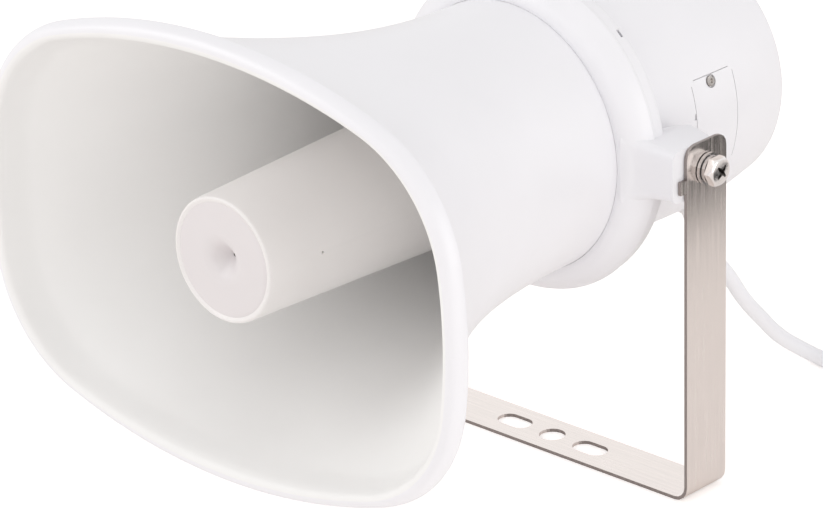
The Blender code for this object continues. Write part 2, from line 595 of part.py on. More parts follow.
# Line transformer on the rear wall
core_end = DRUM_REAR - DRUM_WALL - GAP
core_start = core_end - CORE_STACK
CORE = block("transformer_core", (-CORE_HALF_WIDTH, core_start, -CORE_HALF_HEIGHT),
             (CORE_HALF_WIDTH, core_end, CORE_HALF_HEIGHT), IRON)
window_half_height = CORE_HALF_HEIGHT - LIMB_HALF_WIDTH
for side in (-1, 1):
    ends = sorted((side * LIMB_HALF_WIDTH, side * 2 * LIMB_HALF_WIDTH))
    combine(CORE, block(f"core_window_{side}", (ends[0], core_start - 0.01, -window_half_height),
                        (ends[1], core_end + 0.01, window_half_height)))
winding_half_width = 2 * LIMB_HALF_WIDTH - GAP
WINDING = block("transformer_winding",
                (-winding_half_width, core_start - 0.0060, GAP - window_half_height),
                (winding_half_width, core_end - GAP, window_half_height - GAP), COPPER)
limb_space = LIMB_HALF_WIDTH + GAP
combine(WINDING, block("limb_space", (-limb_space, core_start - GAP, -2 * CORE_HALF_HEIGHT),
                       (limb_space, core_end + 0.01, 2 * CORE_HALF_HEIGHT)))


# Terminal block behind the side cover's window
block_face = pad_inner + 0.0007
TERMINALS = block("terminal_block", (block_face - 0.0102, WINDOW_Y[0] + GAP,
                                     -WINDOW_HALF_HEIGHT + GAP),
                  (block_face, WINDOW_Y[1] - GAP, WINDOW_HALF_HEIGHT - GAP), BLACK)
for row in range(3):
    z = (row - 1) * 0.58 * WINDOW_HALF_HEIGHT
    combine(TERMINALS, block(f"clamp_{row}", (block_face - 0.0037, WINDOW_Y[0] + 0.003, z - 0.0025),
                             (block_face + 0.004, WINDOW_Y[1] - 0.003, z + 0.0025)))


# Bracket: one folded strip
half = BRACKET_HALF_WIDTH
thick = STRIP_THICK
top = PIVOT + ARM_OVER_PIVOT
bend = [(BEND_RADIUS * (1 - math.sin(math.radians(a))), BEND_RADIUS * (1 - math.cos(math.radians(a))))
        for a in (90, 67.5, 45, 22.5, 0)]
fold = BEND_RADIUS - thick
inner_bend = [(thick + fold * (1 - math.sin(math.radians(a))),
               thick + fold * (1 - math.cos(math.radians(a)))) for a in (90, 67.5, 45, 22.5, 0)]
outside = [(-half, top)] + [(-half + x, z) for x, z in bend]
outside += [(half - x, z) for x, z in reversed(bend)] + [(half, top)]
inside = [(half - thick, top)] + [(half - x, z) for x, z in inner_bend]
inside += [(-half + x, z) for x, z in reversed(inner_bend)] + [(-half + thick, top)]
outline = outside + inside
bm = bmesh.new()
near = [bm.verts.new((x, -STRIP_WIDTH / 2, z)) for x, z in outline]
strip_face = bm.faces.new(near)
grown = bmesh.ops.extrude_face_region(bm, geom=[strip_face])
moved = [v for v in grown["geom"] if isinstance(v, bmesh.types.BMVert)]
bmesh.ops.translate(bm, verts=moved, vec=Vector((0, STRIP_WIDTH, 0)))
bmesh.ops.recalc_face_normals(bm, faces=bm.faces)
weights = bm.edges.layers.float.new("bevel_weight_edge")
for edge in bm.edges:
    ends = [v.co for v in edge.verts]
    if min(v.z for v in ends) > top - 0.0001 and abs(ends[0].y - ends[1].y) < 0.0001:
        edge[weights] = 1.0
BRACKET = from_bmesh("bracket", bm, STAINLESS, moves=False)
corners = BRACKET.modifiers.new("corners", "BEVEL")
corners.width = ARM_CORNER
corners.segments = 4
corners.limit_method = "WEIGHT"
for side in (-1, 1):
    ends = sorted((side * half, side * (half - thick)))
    tab = block(f"stop_tab_{side}", (ends[0], -STRIP_WIDTH / 2 - 0.0033, -0.0065),
                (ends[1], -STRIP_WIDTH / 2 + 0.001, -0.0015))
    combine(BRACKET, tab, "UNION")
combine(BRACKET, turned("arm_holes", [(0.0, -half - 0.005), (BOLT_HOLE, -half - 0.005),
                                      (BOLT_HOLE, half + 0.005), (0.0, half + 0.005)],
                        steps=24, tilt=(0, 90, 0)))


def slot(name, x, length, width):
    """Round-ended hole through the strip."""
    bm = bmesh.new()
    points = []
    reach = (length - width) / 2
    for i in range(24):
        a = math.tau * (i + 0.5) / 24
        push = reach if math.cos(a) > 0 else -reach
        points.append((x + push + width / 2 * math.cos(a), width / 2 * math.sin(a)))
    face = bm.faces.new([bm.verts.new((px, py, -0.005)) for px, py in points])
    grown = bmesh.ops.extrude_face_region(bm, geom=[face])
    moved = [v for v in grown["geom"] if isinstance(v, bmesh.types.BMVert)]
    bmesh.ops.translate(bm, verts=moved, vec=Vector((0, 0, 0.012)))
    bmesh.ops.recalc_face_normals(bm, faces=bm.faces)
    return from_bmesh(name, bm)


combine(BRACKET, slot("middle_hole", 0.0, MIDDLE_HOLE, MIDDLE_HOLE))
combine(BRACKET, slot("slot_right", SLOT_PLACE, SLOT_LENGTH, SLOT_WIDTH))
combine(BRACKET, slot("slot_left", -SLOT_PLACE, SLOT_LENGTH, SLOT_WIDTH))


# Bolts, washers and inserts on both sides
washer = BRACKET_HALF_WIDTH + GAP
spring = washer + WASHER_THICK + GAP
head = spring + SPRING_THICK + GAP
head_end = BRACKET_HALF_WIDTH + HEAD_FACE
for side, tilt in (("right", (0, 90, 0)), ("left", (0, -90, 0))):
    sign = 1 if side == "right" else -1
    turned(f"flat_washer_{side}", [
        (BOLT_HOLE, washer), (WASHER_RADIUS, washer), (WASHER_RADIUS, washer + WASHER_THICK),
        (BOLT_HOLE, washer + WASHER_THICK),
    ], STEEL, steps=20, tilt=tilt)
    ring = turned(f"spring_washer_{side}", [
        (BOLT_HOLE, spring), (SPRING_RADIUS, spring), (SPRING_RADIUS, spring + SPRING_THICK),
        (BOLT_HOLE, spring + SPRING_THICK),
    ], STEEL, steps=20, tilt=tilt)
    ends = sorted((sign * (spring - 0.004), sign * (head + 0.004)))
    combine(ring, block(f"split_{side}", (ends[0], 0.001, -0.0005),
                        (ends[1], SPRING_RADIUS + 0.003, 0.0005)))
    bolt = turned(f"bolt_{side}", [
        (0.0, LUG_FACE - INSERT_LENGTH - 0.004),
        (BOLT_RADIUS - 0.0005, LUG_FACE - INSERT_LENGTH - 0.004),
        (BOLT_RADIUS, LUG_FACE - INSERT_LENGTH - 0.0035), (BOLT_RADIUS, head + 0.001),
        (0.0, head + 0.001),
    ], STEEL, steps=20, tilt=tilt)
    bm = bmesh.new()
    matrix = Matrix.Translation((sign * (head + head_end) / 2, 0, PIVOT))
    matrix = matrix @ Matrix.Rotation(math.radians(90), 4, "Y")
    bmesh.ops.create_cone(bm, cap_ends=True, segments=6, radius1=HEX_ACROSS / math.sqrt(3),
                          radius2=HEX_ACROSS / math.sqrt(3), depth=head_end - head, matrix=matrix)
    hexagon = from_bmesh(f"hexagon_{side}", bm)
    chamfer = turned(f"chamfer_{side}", [
        (0.0, head - 0.001), (0.7 * HEX_ACROSS, head - 0.001),
        (0.7 * HEX_ACROSS, head_end - 0.0014), (0.48 * HEX_ACROSS, head_end), (0.0, head_end),
    ], steps=32, tilt=tilt)
    combine(hexagon, chamfer, "INTERSECT")
    combine(bolt, hexagon, "UNION")
    ends = sorted((sign * (head_end - 0.0017), sign * (head_end + 0.002)))
    combine(bolt, block(f"cross_a_{side}", (ends[0], -0.0028, -0.0006), (ends[1], 0.0028, 0.0006)))
    combine(bolt, block(f"cross_b_{side}", (ends[0], -0.0006, -0.0028), (ends[1], 0.0006, 0.0028)))
    turned(f"insert_{side}", [
        (BOLT_HOLE, LUG_FACE - INSERT_LENGTH), (INSERT_RADIUS, LUG_FACE - INSERT_LENGTH),
        (INSERT_RADIUS, LUG_FACE - 0.0004), (BOLT_HOLE, LUG_FACE - 0.0004),
    ], BRASS, steps=16, tilt=tilt)


# Gland: tapered strain relief in the drum's side
GLAND = turned("cable_gland", [
    (CABLE_RADIUS + GAP, GLAND_END - GLAND_LENGTH), (0.0047, GLAND_END - GLAND_LENGTH),
    (0.0047, DRUM_RADIUS - 0.0002), (0.0068, DRUM_RADIUS - 0.0002), (0.0068, DRUM_RADIUS + 0.0018),
    (0.0056, DRUM_RADIUS + 0.003), (CABLE_RADIUS + 0.0014, GLAND_END),
    (CABLE_RADIUS + GAP, GLAND_END),
], WHITE, steps=20, at=(0, GLAND_Y, PIVOT), tilt=gland_tilt)


# Lead: from inside the gland down to the floor and into the coil
def gland_point(reach):
    """Point on the gland's axis, from the pivot."""
    a = math.radians(GLAND_ANGLE)
    return (reach * math.cos(a), GLAND_Y, reach * math.sin(a))


FLOOR = -PIVOT + CABLE_RADIUS + 0.0001
COIL_SIDE = COIL_PLACE[1] - COIL_RADIUS
ROUTE = [gland_point(GLAND_END - GLAND_LENGTH - 0.0005), gland_point(GLAND_END - 0.014),
         gland_point(GLAND_END - 0.005), gland_point(GLAND_END + 0.0035),
         (0.0288, 0.0665, -0.0770), (0.0293, 0.0775, -0.0885), (0.0275, 0.0910, -0.1010),
         (0.0270, 0.1030, -0.1125), (0.0300, 0.1120, -0.1215), (0.0375, 0.1155, FLOOR),
         (0.0460, COIL_SIDE, FLOOR), (0.0543, COIL_SIDE, FLOOR)]


def smooth(route, step):
    """Evenly spaced points on a Catmull-Rom curve through a route."""
    fine = []
    ends = [Vector(p) for p in route]
    ends = [ends[0] * 2 - ends[1]] + ends + [ends[-1] * 2 - ends[-2]]
    for a, b, c, d in zip(ends, ends[1:], ends[2:], ends[3:]):
        for i in range(24):
            t = i / 24
            fine.append(0.5 * (2 * b + (c - a) * t + (2 * a - 5 * b + 4 * c - d) * t * t
                               + (3 * b - 3 * c + d - a) * t ** 3))
    fine.append(ends[-2])
    length = sum((q - p).length for p, q in zip(fine, fine[1:]))
    count = max(2, round(length / step))
    points, walked, index = [fine[0]], 0.0, 0
    for k in range(1, count):
        goal = length * k / count
        while walked + (fine[index + 1] - fine[index]).length < goal:
            walked += (fine[index + 1] - fine[index]).length
            index += 1
        span = (fine[index + 1] - fine[index]).length
        points.append(fine[index].lerp(fine[index + 1], (goal - walked) / span))
    points.append(fine[-1])
    return points


def tube(name, points, radius, look, rounds=3):
    """Closed round tube along a list of points given from the pivot."""
    curve = bpy.data.curves.new(name, "CURVE")
    curve.dimensions = "3D"
    curve.bevel_depth = radius
    curve.bevel_resolution = rounds
    curve.use_fill_caps = True
    spline = curve.splines.new("POLY")
    spline.points.add(len(points) - 1)
    for point, co in zip(spline.points, points):
        point.co = (co[0], co[1], co[2] + PIVOT, 1.0)
    return place(bpy.data.objects.new(name, curve), look)


tube("cable", smooth(ROUTE, 0.007), CABLE_RADIUS, WHITE, rounds=2)
low = 0.0001
chamfer = 0.0022
r0, r1 = COIL_RADIUS - COIL_SECTION / 2, COIL_RADIUS + COIL_SECTION / 2
turned("cable_coil", [
    (r0 + chamfer, low), (r1 - chamfer, low), (r1, low + chamfer),
    (r1, low + COIL_SECTION - chamfer), (r1 - chamfer, low + COIL_SECTION),
    (r0 + chamfer, low + COIL_SECTION), (r0, low + COIL_SECTION - chamfer), (r0, low + chamfer),
], WHITE, steps=24, at=(*COIL_PLACE, 0), tilt=(0, 0, 0))
coil_edge = COIL_RADIUS + COIL_SECTION / 2
for name, side in (("cable_core_inner", -1), ("cable_core_outer", 1)):
    off = COIL_RADIUS + side * 0.0016
    start = math.sqrt((coil_edge + GAP + CORE_RADIUS) ** 2 - off ** 2)
    x, y = COIL_PLACE[0] + off, COIL_PLACE[1] + start
    spread = [(x, y, 0.0036 - PIVOT), (x + side * 0.0010, y + 0.012, 0.0024 - PIVOT),
              (x + side * 0.0040, y + 0.026, 0.0013 - PIVOT)]
    tube(name, smooth(spread, 0.004), CORE_RADIUS, COPPER, rounds=1)

bpy.context.view_layer.update()
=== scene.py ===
# %% [markdown]
# # A small PA horn speaker
#
# The solid model arrives as a fixed frame: every rigid piece already has its real size and
# place. This notebook photographs it. It sets the camera, winds the lead, dresses the pieces
# in plastic and steel, and lights them softly. Everything is in metres, +Z up, and the mouth
# looks along -Y.

# %% Load the frame
import math

import bmesh
import bpy
from mathutils import Matrix, Vector


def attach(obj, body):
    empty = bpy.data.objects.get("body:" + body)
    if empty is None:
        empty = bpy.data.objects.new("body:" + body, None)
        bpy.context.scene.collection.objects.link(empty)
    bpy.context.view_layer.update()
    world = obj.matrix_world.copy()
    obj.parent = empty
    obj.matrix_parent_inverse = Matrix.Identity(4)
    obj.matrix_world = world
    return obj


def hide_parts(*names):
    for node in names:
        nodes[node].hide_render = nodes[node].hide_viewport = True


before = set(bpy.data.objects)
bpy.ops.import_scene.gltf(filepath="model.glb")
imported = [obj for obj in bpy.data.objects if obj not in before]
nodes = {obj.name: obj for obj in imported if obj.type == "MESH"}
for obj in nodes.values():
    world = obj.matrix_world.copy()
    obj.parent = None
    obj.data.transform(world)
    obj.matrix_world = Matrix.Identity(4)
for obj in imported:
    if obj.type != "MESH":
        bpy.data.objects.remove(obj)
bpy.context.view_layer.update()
PIVOT = Vector((0.0, 0.0, 0.129))
print(len(nodes), "solids in the frame")

# %% [markdown]
# ## The camera
#
# The photographer stood in front and to the right of the horn and looked down on it a little.
# A camera could be placed by eye, but this one stands at a place measured from the object's own
# edges. The long lens keeps the two bracket arms nearly parallel.

# %% Camera
def aim_camera(place, azimuth, elevation, roll, lens):
    """Puts a camera at a place, turned by three angles in degrees."""
    az, el, tip = (math.radians(a) for a in (azimuth, elevation, roll))
    back = Vector((math.sin(az) * math.cos(el), -math.cos(az) * math.cos(el), math.sin(el)))
    right = Vector((math.cos(az), math.sin(az), 0.0))
    up = back.cross(right)
    across = math.cos(tip) * right + math.sin(tip) * up
    upward = -math.sin(tip) * right + math.cos(tip) * up
    data = bpy.data.cameras.new("camera")
    data.sensor_width = 36.0
    data.lens = lens
    data.clip_end = 20.0
    camera = bpy.data.objects.new("camera", data)
    turn = Matrix((across, upward, back)).transposed().to_4x4()
    camera.matrix_world = Matrix.Translation(place) @ turn
    bpy.context.scene.collection.objects.link(camera)
    bpy.context.scene.camera = camera
    return camera


CAMERA_PLACE = (1.103466, -1.252969, 0.792699)
AZIMUTH, ELEVATION, ROLL = 43.131, 23.259, -1.389
LENS = 214.843
camera = aim_camera(CAMERA_PLACE, AZIMUTH, ELEVATION, ROLL, LENS)
print("camera at", [round(c, 3) for c in camera.matrix_world.translation])

# %% [markdown]
# ## The lead
#
# A round white two-core lead leaves the drum through a tapered gland, drops behind the bracket
# and lies on the table. What the picture doesn't show is wound into a neat coil of four turns,
# two beside each other and two on top. A curve with a round bevel is the natural tool: it
# keeps one centreline, so its length can be measured, and it stays round in every bend. The
# curve is baked to a mesh at the end, so that its true outline can be measured too.

# %% Route of the lead
CABLE_RADIUS = 0.003
GLAND_ANGLE = math.radians(-68.0)
GLAND_Y = 0.060
EXIT_REACH = 0.046
TABLE = CABLE_RADIUS + 0.0001
COIL = Vector((0.080, 0.149, 0.0))
COIL_RADIUS = 0.0325
COIL_TURNS, COIL_STEPS = 4.22, 24
TRACK = 0.0031
TRACK_CHANGE = 0.22


def gland_point(reach):
    """Point on the gland's axis."""
    return (reach * math.cos(GLAND_ANGLE), GLAND_Y, PIVOT.z + reach * math.sin(GLAND_ANGLE))


route = [gland_point(EXIT_REACH), gland_point(0.055), gland_point(0.064), gland_point(0.0725),
         (0.0286, 0.0660, 0.0550), (0.0293, 0.0775, 0.0391), (0.0275, 0.0910, 0.0255),
         (0.0270, 0.1030, 0.0139), (0.0300, 0.1120, 0.0065), (0.0375, 0.1155, TABLE),
         (0.0460, 0.1152, TABLE), (0.0560, 0.1142, TABLE)]


def coil_point(turns):
    """Point on the coil after a number of turns: outside, inside, up and outside again."""
    def ease(start):
        x = min(max((turns - start) / TRACK_CHANGE, 0.0), 1.0)
        return x * x * (3 - 2 * x)
    outward = 1.0 - 2.0 * ease(0.9) + 2.0 * ease(2.9)
    level = 2.0 * ease(1.9)
    radius = COIL_RADIUS + TRACK * outward
    angle = math.radians(-90.0) + math.tau * turns
    return (COIL.x + radius * math.cos(angle), COIL.y + radius * math.sin(angle),
            TABLE + TRACK * level)


route += [coil_point(i / COIL_STEPS) for i in range(-2, round(COIL_TURNS * COIL_STEPS))]
route += [(0.1156, 0.1490, 0.0093), (0.1153, 0.1570, 0.0092), (0.1145, 0.1630, 0.0083),
          (0.1137, 0.1680, 0.0064), (0.1131, 0.1722, 0.0044), (0.1130, 0.1747, 0.0037)]
print(len(route), "points on the lead's route")


# %% Sweep the lead
def swept(name, points, radius, rounds=5):
    """Round tube on a smooth curve through points, baked to a mesh."""
    curve = bpy.data.curves.new(name, "CURVE")
    curve.dimensions = "3D"
    curve.bevel_depth = radius
    curve.bevel_resolution = rounds
    curve.use_fill_caps = True
    curve.resolution_u = 8
    spline = curve.splines.new("BEZIER")
    spline.bezier_points.add(len(points) - 1)
    for point, co in zip(spline.bezier_points, points):
        point.co = co
        point.handle_left_type = "AUTO"
        point.handle_right_type = "AUTO"
    guide = bpy.data.objects.new("guide", curve)
    bpy.context.scene.collection.objects.link(guide)
    seen = bpy.context.evaluated_depsgraph_get()
    mesh = bpy.data.meshes.new_from_object(guide.evaluated_get(seen))
    bpy.data.objects.remove(guide, do_unlink=True)
    for face in mesh.polygons:
        face.use_smooth = len(face.vertices) < 5
    obj = bpy.data.objects.new(name, mesh)
    bpy.context.scene.collection.objects.link(obj)
    return obj


lead = swept("lead", route, CABLE_RADIUS)
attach(lead, "horn")
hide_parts("cable", "cable_coil")

# %% [markdown]
# ## Shader groups
#
# Moulded plastic is never one even colour: the skin has a faint mottle and a fine grain from
# the tool. Rolled steel has grain that runs one way, and its cut edges are duller. Each effect
# is built once as a node group with named inputs, so that every material can use it with its
# own values.

# %% Helpers that build a node group
def new_group(name, inputs, outputs):
    """Empty shader group, with its input and output sockets; inputs are (name, kind, value)."""
    group = bpy.data.node_groups.new(name, "ShaderNodeTree")
    for label, kind, value in inputs:
        socket = group.interface.new_socket(label, in_out="INPUT", socket_type=kind)
        socket.default_value = value
    for label, kind in outputs:
        group.interface.new_socket(label, in_out="OUTPUT", socket_type=kind)
    enter = group.nodes.new("NodeGroupInput")
    leave = group.nodes.new("NodeGroupOutput")
    return group, enter.outputs, leave.inputs


def join(tree, source, target):
    """Links two sockets."""
    tree.links.new(source, target)


def add(tree, kind, values, **settings):
    """New shader node; each input is linked to a socket or set to a value."""
    node = tree.nodes.new("ShaderNode" + kind)
    for setting, value in settings.items():
        setattr(node, setting, value)
    for label, value in values.items():
        if isinstance(value, bpy.types.NodeSocket):
            join(tree, value, node.inputs[label])
        else:
            node.inputs[label].default_value = value
    return node.outputs


def vary(tree, enter, leave, swing, amount):
    """Lets a value from -1 to 1 shift a group's colour and roughness by its own inputs."""
    shade = add(tree, "Math", {0: swing, 1: enter[amount], 2: 1.0}, operation="MULTIPLY_ADD")
    tint = add(tree, "VectorMath", {0: enter["Color"], "Scale": shade["Value"]},
               operation="SCALE")
    rough = add(tree, "Math", {0: swing, 1: enter["Unevenness"], 2: enter["Roughness"]},
                operation="MULTIPLY_ADD")
    join(tree, tint["Vector"], leave["Color"])
    join(tree, rough["Value"], leave["Roughness"])


SURFACE = [("Color", "NodeSocketColor"), ("Roughness", "NodeSocketFloat")]
SURFACE_HEIGHT = SURFACE + [("Height", "NodeSocketFloat")]
print("groups give", [label for label, kind in SURFACE_HEIGHT])


# %% Moulded skin
def make_moulded_skin():
    """Mottled colour, uneven roughness and fine tool grain of moulded plastic."""
    tree, enter, leave = new_group("moulded_skin", [
        ("Color", "NodeSocketColor", (0.8, 0.8, 0.8, 1)),
        ("Mottle", "NodeSocketFloat", 0.02),
        ("Roughness", "NodeSocketFloat", 0.4),
        ("Unevenness", "NodeSocketFloat", 0.06),
        ("Grain Size", "NodeSocketFloat", 1400.0),
    ], SURFACE_HEIGHT)
    place = add(tree, "TexCoord", {})["Object"]
    cloud = add(tree, "TexNoise", {"Vector": place, "Scale": 22.0, "Detail": 4.0})
    grain = add(tree, "TexNoise", {"Vector": place, "Scale": enter["Grain Size"],
                                   "Detail": 2.0, "Distortion": 1.6})
    swing = add(tree, "MapRange", {"Value": cloud["Fac"], "From Min": 0.3, "From Max": 0.7,
                                   "To Min": -1.0})
    vary(tree, enter, leave, swing["Result"], "Mottle")
    join(tree, grain["Fac"], leave["Height"])
    return tree


MOULDED_SKIN = make_moulded_skin()
print("group", MOULDED_SKIN.name, "ready")


# %% Rolled grain
def make_rolled_grain():
    """Long fine scratches of rolled or brushed steel, for colour, roughness and height."""
    tree, enter, leave = new_group("rolled_grain", [
        ("Color", "NodeSocketColor", (0.6, 0.6, 0.6, 1)),
        ("Stretch", "NodeSocketVector", (1.0, 1.0, 1.0)),
        ("Depth", "NodeSocketFloat", 0.12),
        ("Roughness", "NodeSocketFloat", 0.3),
        ("Unevenness", "NodeSocketFloat", 0.1),
    ], SURFACE_HEIGHT)
    place = add(tree, "TexCoord", {})["Object"]
    pull = add(tree, "VectorMath", {0: place, 1: enter["Stretch"]}, operation="MULTIPLY")
    lines = add(tree, "TexNoise", {"Vector": pull["Vector"], "Scale": 1.0, "Detail": 5.0,
                                   "Roughness": 0.65})
    cloud = add(tree, "TexNoise", {"Vector": place, "Scale": 45.0, "Detail": 3.0})
    blend = add(tree, "Math", {0: cloud["Fac"], 1: 0.35, 2: lines["Fac"]},
                operation="MULTIPLY_ADD")
    swing = add(tree, "MapRange", {"Value": blend["Value"], "From Min": 0.45,
                                   "From Max": 0.90, "To Min": -1.0})
    vary(tree, enter, leave, swing["Result"], "Depth")
    join(tree, lines["Fac"], leave["Height"])
    return tree


ROLLED_GRAIN = make_rolled_grain()
print("group", ROLLED_GRAIN.name, "ready")


# %% Sheared edge
MIX_FLOAT_A, MIX_FLOAT_B, MIX_FLOAT_OUT = 2, 3, 0
MIX_COLOR_A, MIX_COLOR_B, MIX_COLOR_OUT = 6, 7, 2


def make_sheared_edge():
    """Darker, duller colour on a sheet's cut edges: along its own Y axis, and at its top."""
    tree, enter, leave = new_group("sheared_edge", [
        ("Color", "NodeSocketColor", (0.6, 0.6, 0.6, 1)),
        ("Edge Color", "NodeSocketColor", (0.2, 0.2, 0.2, 1)),
        ("Roughness", "NodeSocketFloat", 0.3),
        ("Edge Roughness", "NodeSocketFloat", 0.5),
        ("Top From", "NodeSocketFloat", 0.1),
    ], SURFACE)
    place = add(tree, "TexCoord", {})
    facing = add(tree, "SeparateXYZ", {"Vector": place["Normal"]})
    spot = add(tree, "SeparateXYZ", {"Vector": place["Object"]})
    size = add(tree, "Math", {0: facing["Y"]}, operation="ABSOLUTE")
    high = add(tree, "Math", {0: spot["Z"], 1: enter["Top From"]}, operation="GREATER_THAN")
    upward = add(tree, "Math", {0: facing["Z"], 1: high["Value"]}, operation="MULTIPLY")
    most = add(tree, "Math", {0: size["Value"], 1: upward["Value"]}, operation="MAXIMUM")
    mask = add(tree, "MapRange", {"Value": most["Value"], "From Min": 0.25, "From Max": 0.6})
    tint = add(tree, "Mix", {"Factor": mask["Result"], MIX_COLOR_A: enter["Color"],
                             MIX_COLOR_B: enter["Edge Color"]}, data_type="RGBA")
    rough = add(tree, "Mix", {"Factor": mask["Result"], MIX_FLOAT_A: enter["Roughness"],
                              MIX_FLOAT_B: enter["Edge Roughness"]})
    join(tree, tint[MIX_COLOR_OUT], leave["Color"])
    join(tree, rough[MIX_FLOAT_OUT], leave["Roughness"])
    return tree


SHEARED_EDGE = make_sheared_edge()
print("group", SHEARED_EDGE.name, "ready")

# %% [markdown]
# ## Materials
#
# Each finish is one Principled shader fed by a group. The white mouldings are a cool, softly
# glossy ABS outside; inside the mouth the same plastic carries a coarser, duller grain and looks
# warmer. The bracket is plain stainless strip, brushed along its length. It was cut to width on
# a shear, so its narrow edges and its top get a duller colour. The bolt is brighter because its
# head is cold formed.

# %% Plastic materials
def start_material(name):
    """New material with its Principled shader."""
    mat = bpy.data.materials.new(name)
    mat.use_nodes = True
    return mat, mat.node_tree, mat.node_tree.nodes["Principled BSDF"]


def dress(tree, shader, group, values, bump, distance):
    """Places a group in a material and feeds its colour, roughness and height to the shader."""
    skin = add(tree, "Group", values, node_tree=group)
    relief = add(tree, "Bump", {"Strength": bump, "Distance": distance,
                                "Height": skin["Height"]})
    join(tree, skin["Color"], shader.inputs["Base Color"])
    join(tree, skin["Roughness"], shader.inputs["Roughness"])
    join(tree, relief["Normal"], shader.inputs["Normal"])


GRAIN_HEIGHT, SCRATCH_HEIGHT = 0.0002, 0.00015


def plastic(name, color, roughness, mottle=0.012, grain=1400.0, bump=0.07, coat=0.0):
    """Moulded plastic."""
    mat, tree, shader = start_material(name)
    dress(tree, shader, MOULDED_SKIN, {
        "Color": (*color, 1), "Mottle": mottle, "Roughness": roughness, "Unevenness": 0.05,
        "Grain Size": grain}, bump, GRAIN_HEIGHT)
    shader.inputs["IOR"].default_value = 1.5
    shader.inputs["Coat Weight"].default_value = coat
    shader.inputs["Coat Roughness"].default_value = 0.32
    return mat


OUTSIDE_WHITE = plastic("outside_white", (0.858, 0.853, 0.880), 0.34, coat=0.2)
INSIDE_WHITE = plastic("inside_white", (0.882, 0.877, 0.868), 0.50, grain=2200.0, bump=0.2)
# Painted shade: a grey copy of the white plastic for the side cover's seam walls, in place of the
# shade in the gap.
PAINTED_SEAM_SHADE = plastic("painted_seam_shade", (0.74, 0.73, 0.74), 0.6)
CUP_WHITE = plastic("cup_white", (0.845, 0.82, 0.81), 0.36, coat=0.2)
CUP_FACE = plastic("cup_face", (0.75, 0.715, 0.72), 0.38, grain=1800.0, bump=0.16)
SHEATH_WHITE = plastic("sheath_white", (0.875, 0.875, 0.90), 0.45, grain=900.0)
GLAND_WHITE = plastic("gland_white", (0.85, 0.845, 0.85), 0.4)
INNER_BLACK = plastic("inner_black", (0.025, 0.025, 0.027), 0.45, mottle=0.05)
print("plastics ready")


# %% Metal materials
def metal(name, color, stretch, depth, roughness, bump=0.12):
    """Rolled, brushed or plated metal; stretch is scratches per metre along X, Y and Z."""
    mat, tree, shader = start_material(name)
    dress(tree, shader, ROLLED_GRAIN, {
        "Color": (*color, 1), "Stretch": stretch, "Depth": depth, "Roughness": roughness,
        "Unevenness": 0.08}, bump, SCRATCH_HEIGHT)
    shader.inputs["Metallic"].default_value = 1.0
    return mat


STRIP_STAINLESS = metal("strip_stainless", (0.86, 0.795, 0.76), (25.0, 900.0, 25.0), 0.045, 0.22,
                        0.02)
BOLT_BRIGHT = metal("bolt_bright", (0.84, 0.805, 0.79), (900.0, 900.0, 900.0), 0.06, 0.22, 0.05)
WASHER_BRIGHT = metal("washer_bright", (0.60, 0.57, 0.56), (700.0, 1600.0, 700.0), 0.08, 0.24)
SCREW_ZINC = metal("screw_plated", (0.60, 0.60, 0.60), (900.0, 900.0, 900.0), 0.08, 0.30)
# Painted shade: a near-black copy of the metal for the bolts' cross recesses and the cup's pit,
# in place of their shade.
PAINTED_RECESS_SHADE = metal("painted_recess_shade", (0.10, 0.09, 0.085), (900.0, 900.0, 900.0), 0.10, 0.45)
SCREW_DARK = metal("screw_dark", (0.46, 0.43, 0.41), (900.0, 900.0, 900.0), 0.10, 0.22)
INSERT_BRASS = metal("insert_brass", (0.71, 0.53, 0.24), (1200.0, 300.0, 300.0), 0.06, 0.30)
COPPER_STRANDS = metal("copper_strands", (0.80, 0.42, 0.26), (2500.0, 200.0, 2500.0), 0.15, 0.35)
DRIVER_IRON = metal("driver_iron", (0.40, 0.40, 0.42), (600.0, 600.0, 600.0), 0.08, 0.40)
print("metals ready")

# %% Cut edges of the strip
tree = STRIP_STAINLESS.node_tree
shader = tree.nodes["Principled BSDF"]
plain = {label: shader.inputs[socket].links[0].from_socket
         for label, socket in (("Color", "Base Color"), ("Roughness", "Roughness"))}
edge = add(tree, "Group", {**plain, "Edge Color": (0.34, 0.30, 0.285, 1),
                           "Edge Roughness": 0.40, "Top From": 0.10}, node_tree=SHEARED_EDGE)
join(tree, edge["Color"], shader.inputs["Base Color"])
join(tree, edge["Roughness"], shader.inputs["Roughness"])
print("cut edges set")

# %% [markdown]
# ## The bell
#
# The bell is the skilled form: round where the collar holds it, a bowed rectangle at the mouth,
# and the change runs smoothly through the whole length. A subdivided cage would drift off the
# measured outline, so the skin is lofted: one section is computed for each angle, and
# neighbouring sections are joined by faces. The lip is rolled, with a soft outer quarter round.

# %% Outline of the mouth
MOUTH_HALF_WIDTH = 0.113
MOUTH_HALF_HEIGHT = 0.0825
TOP_ARC, SIDE_ARC, CORNER_ARC = 0.230, 0.190, 0.054


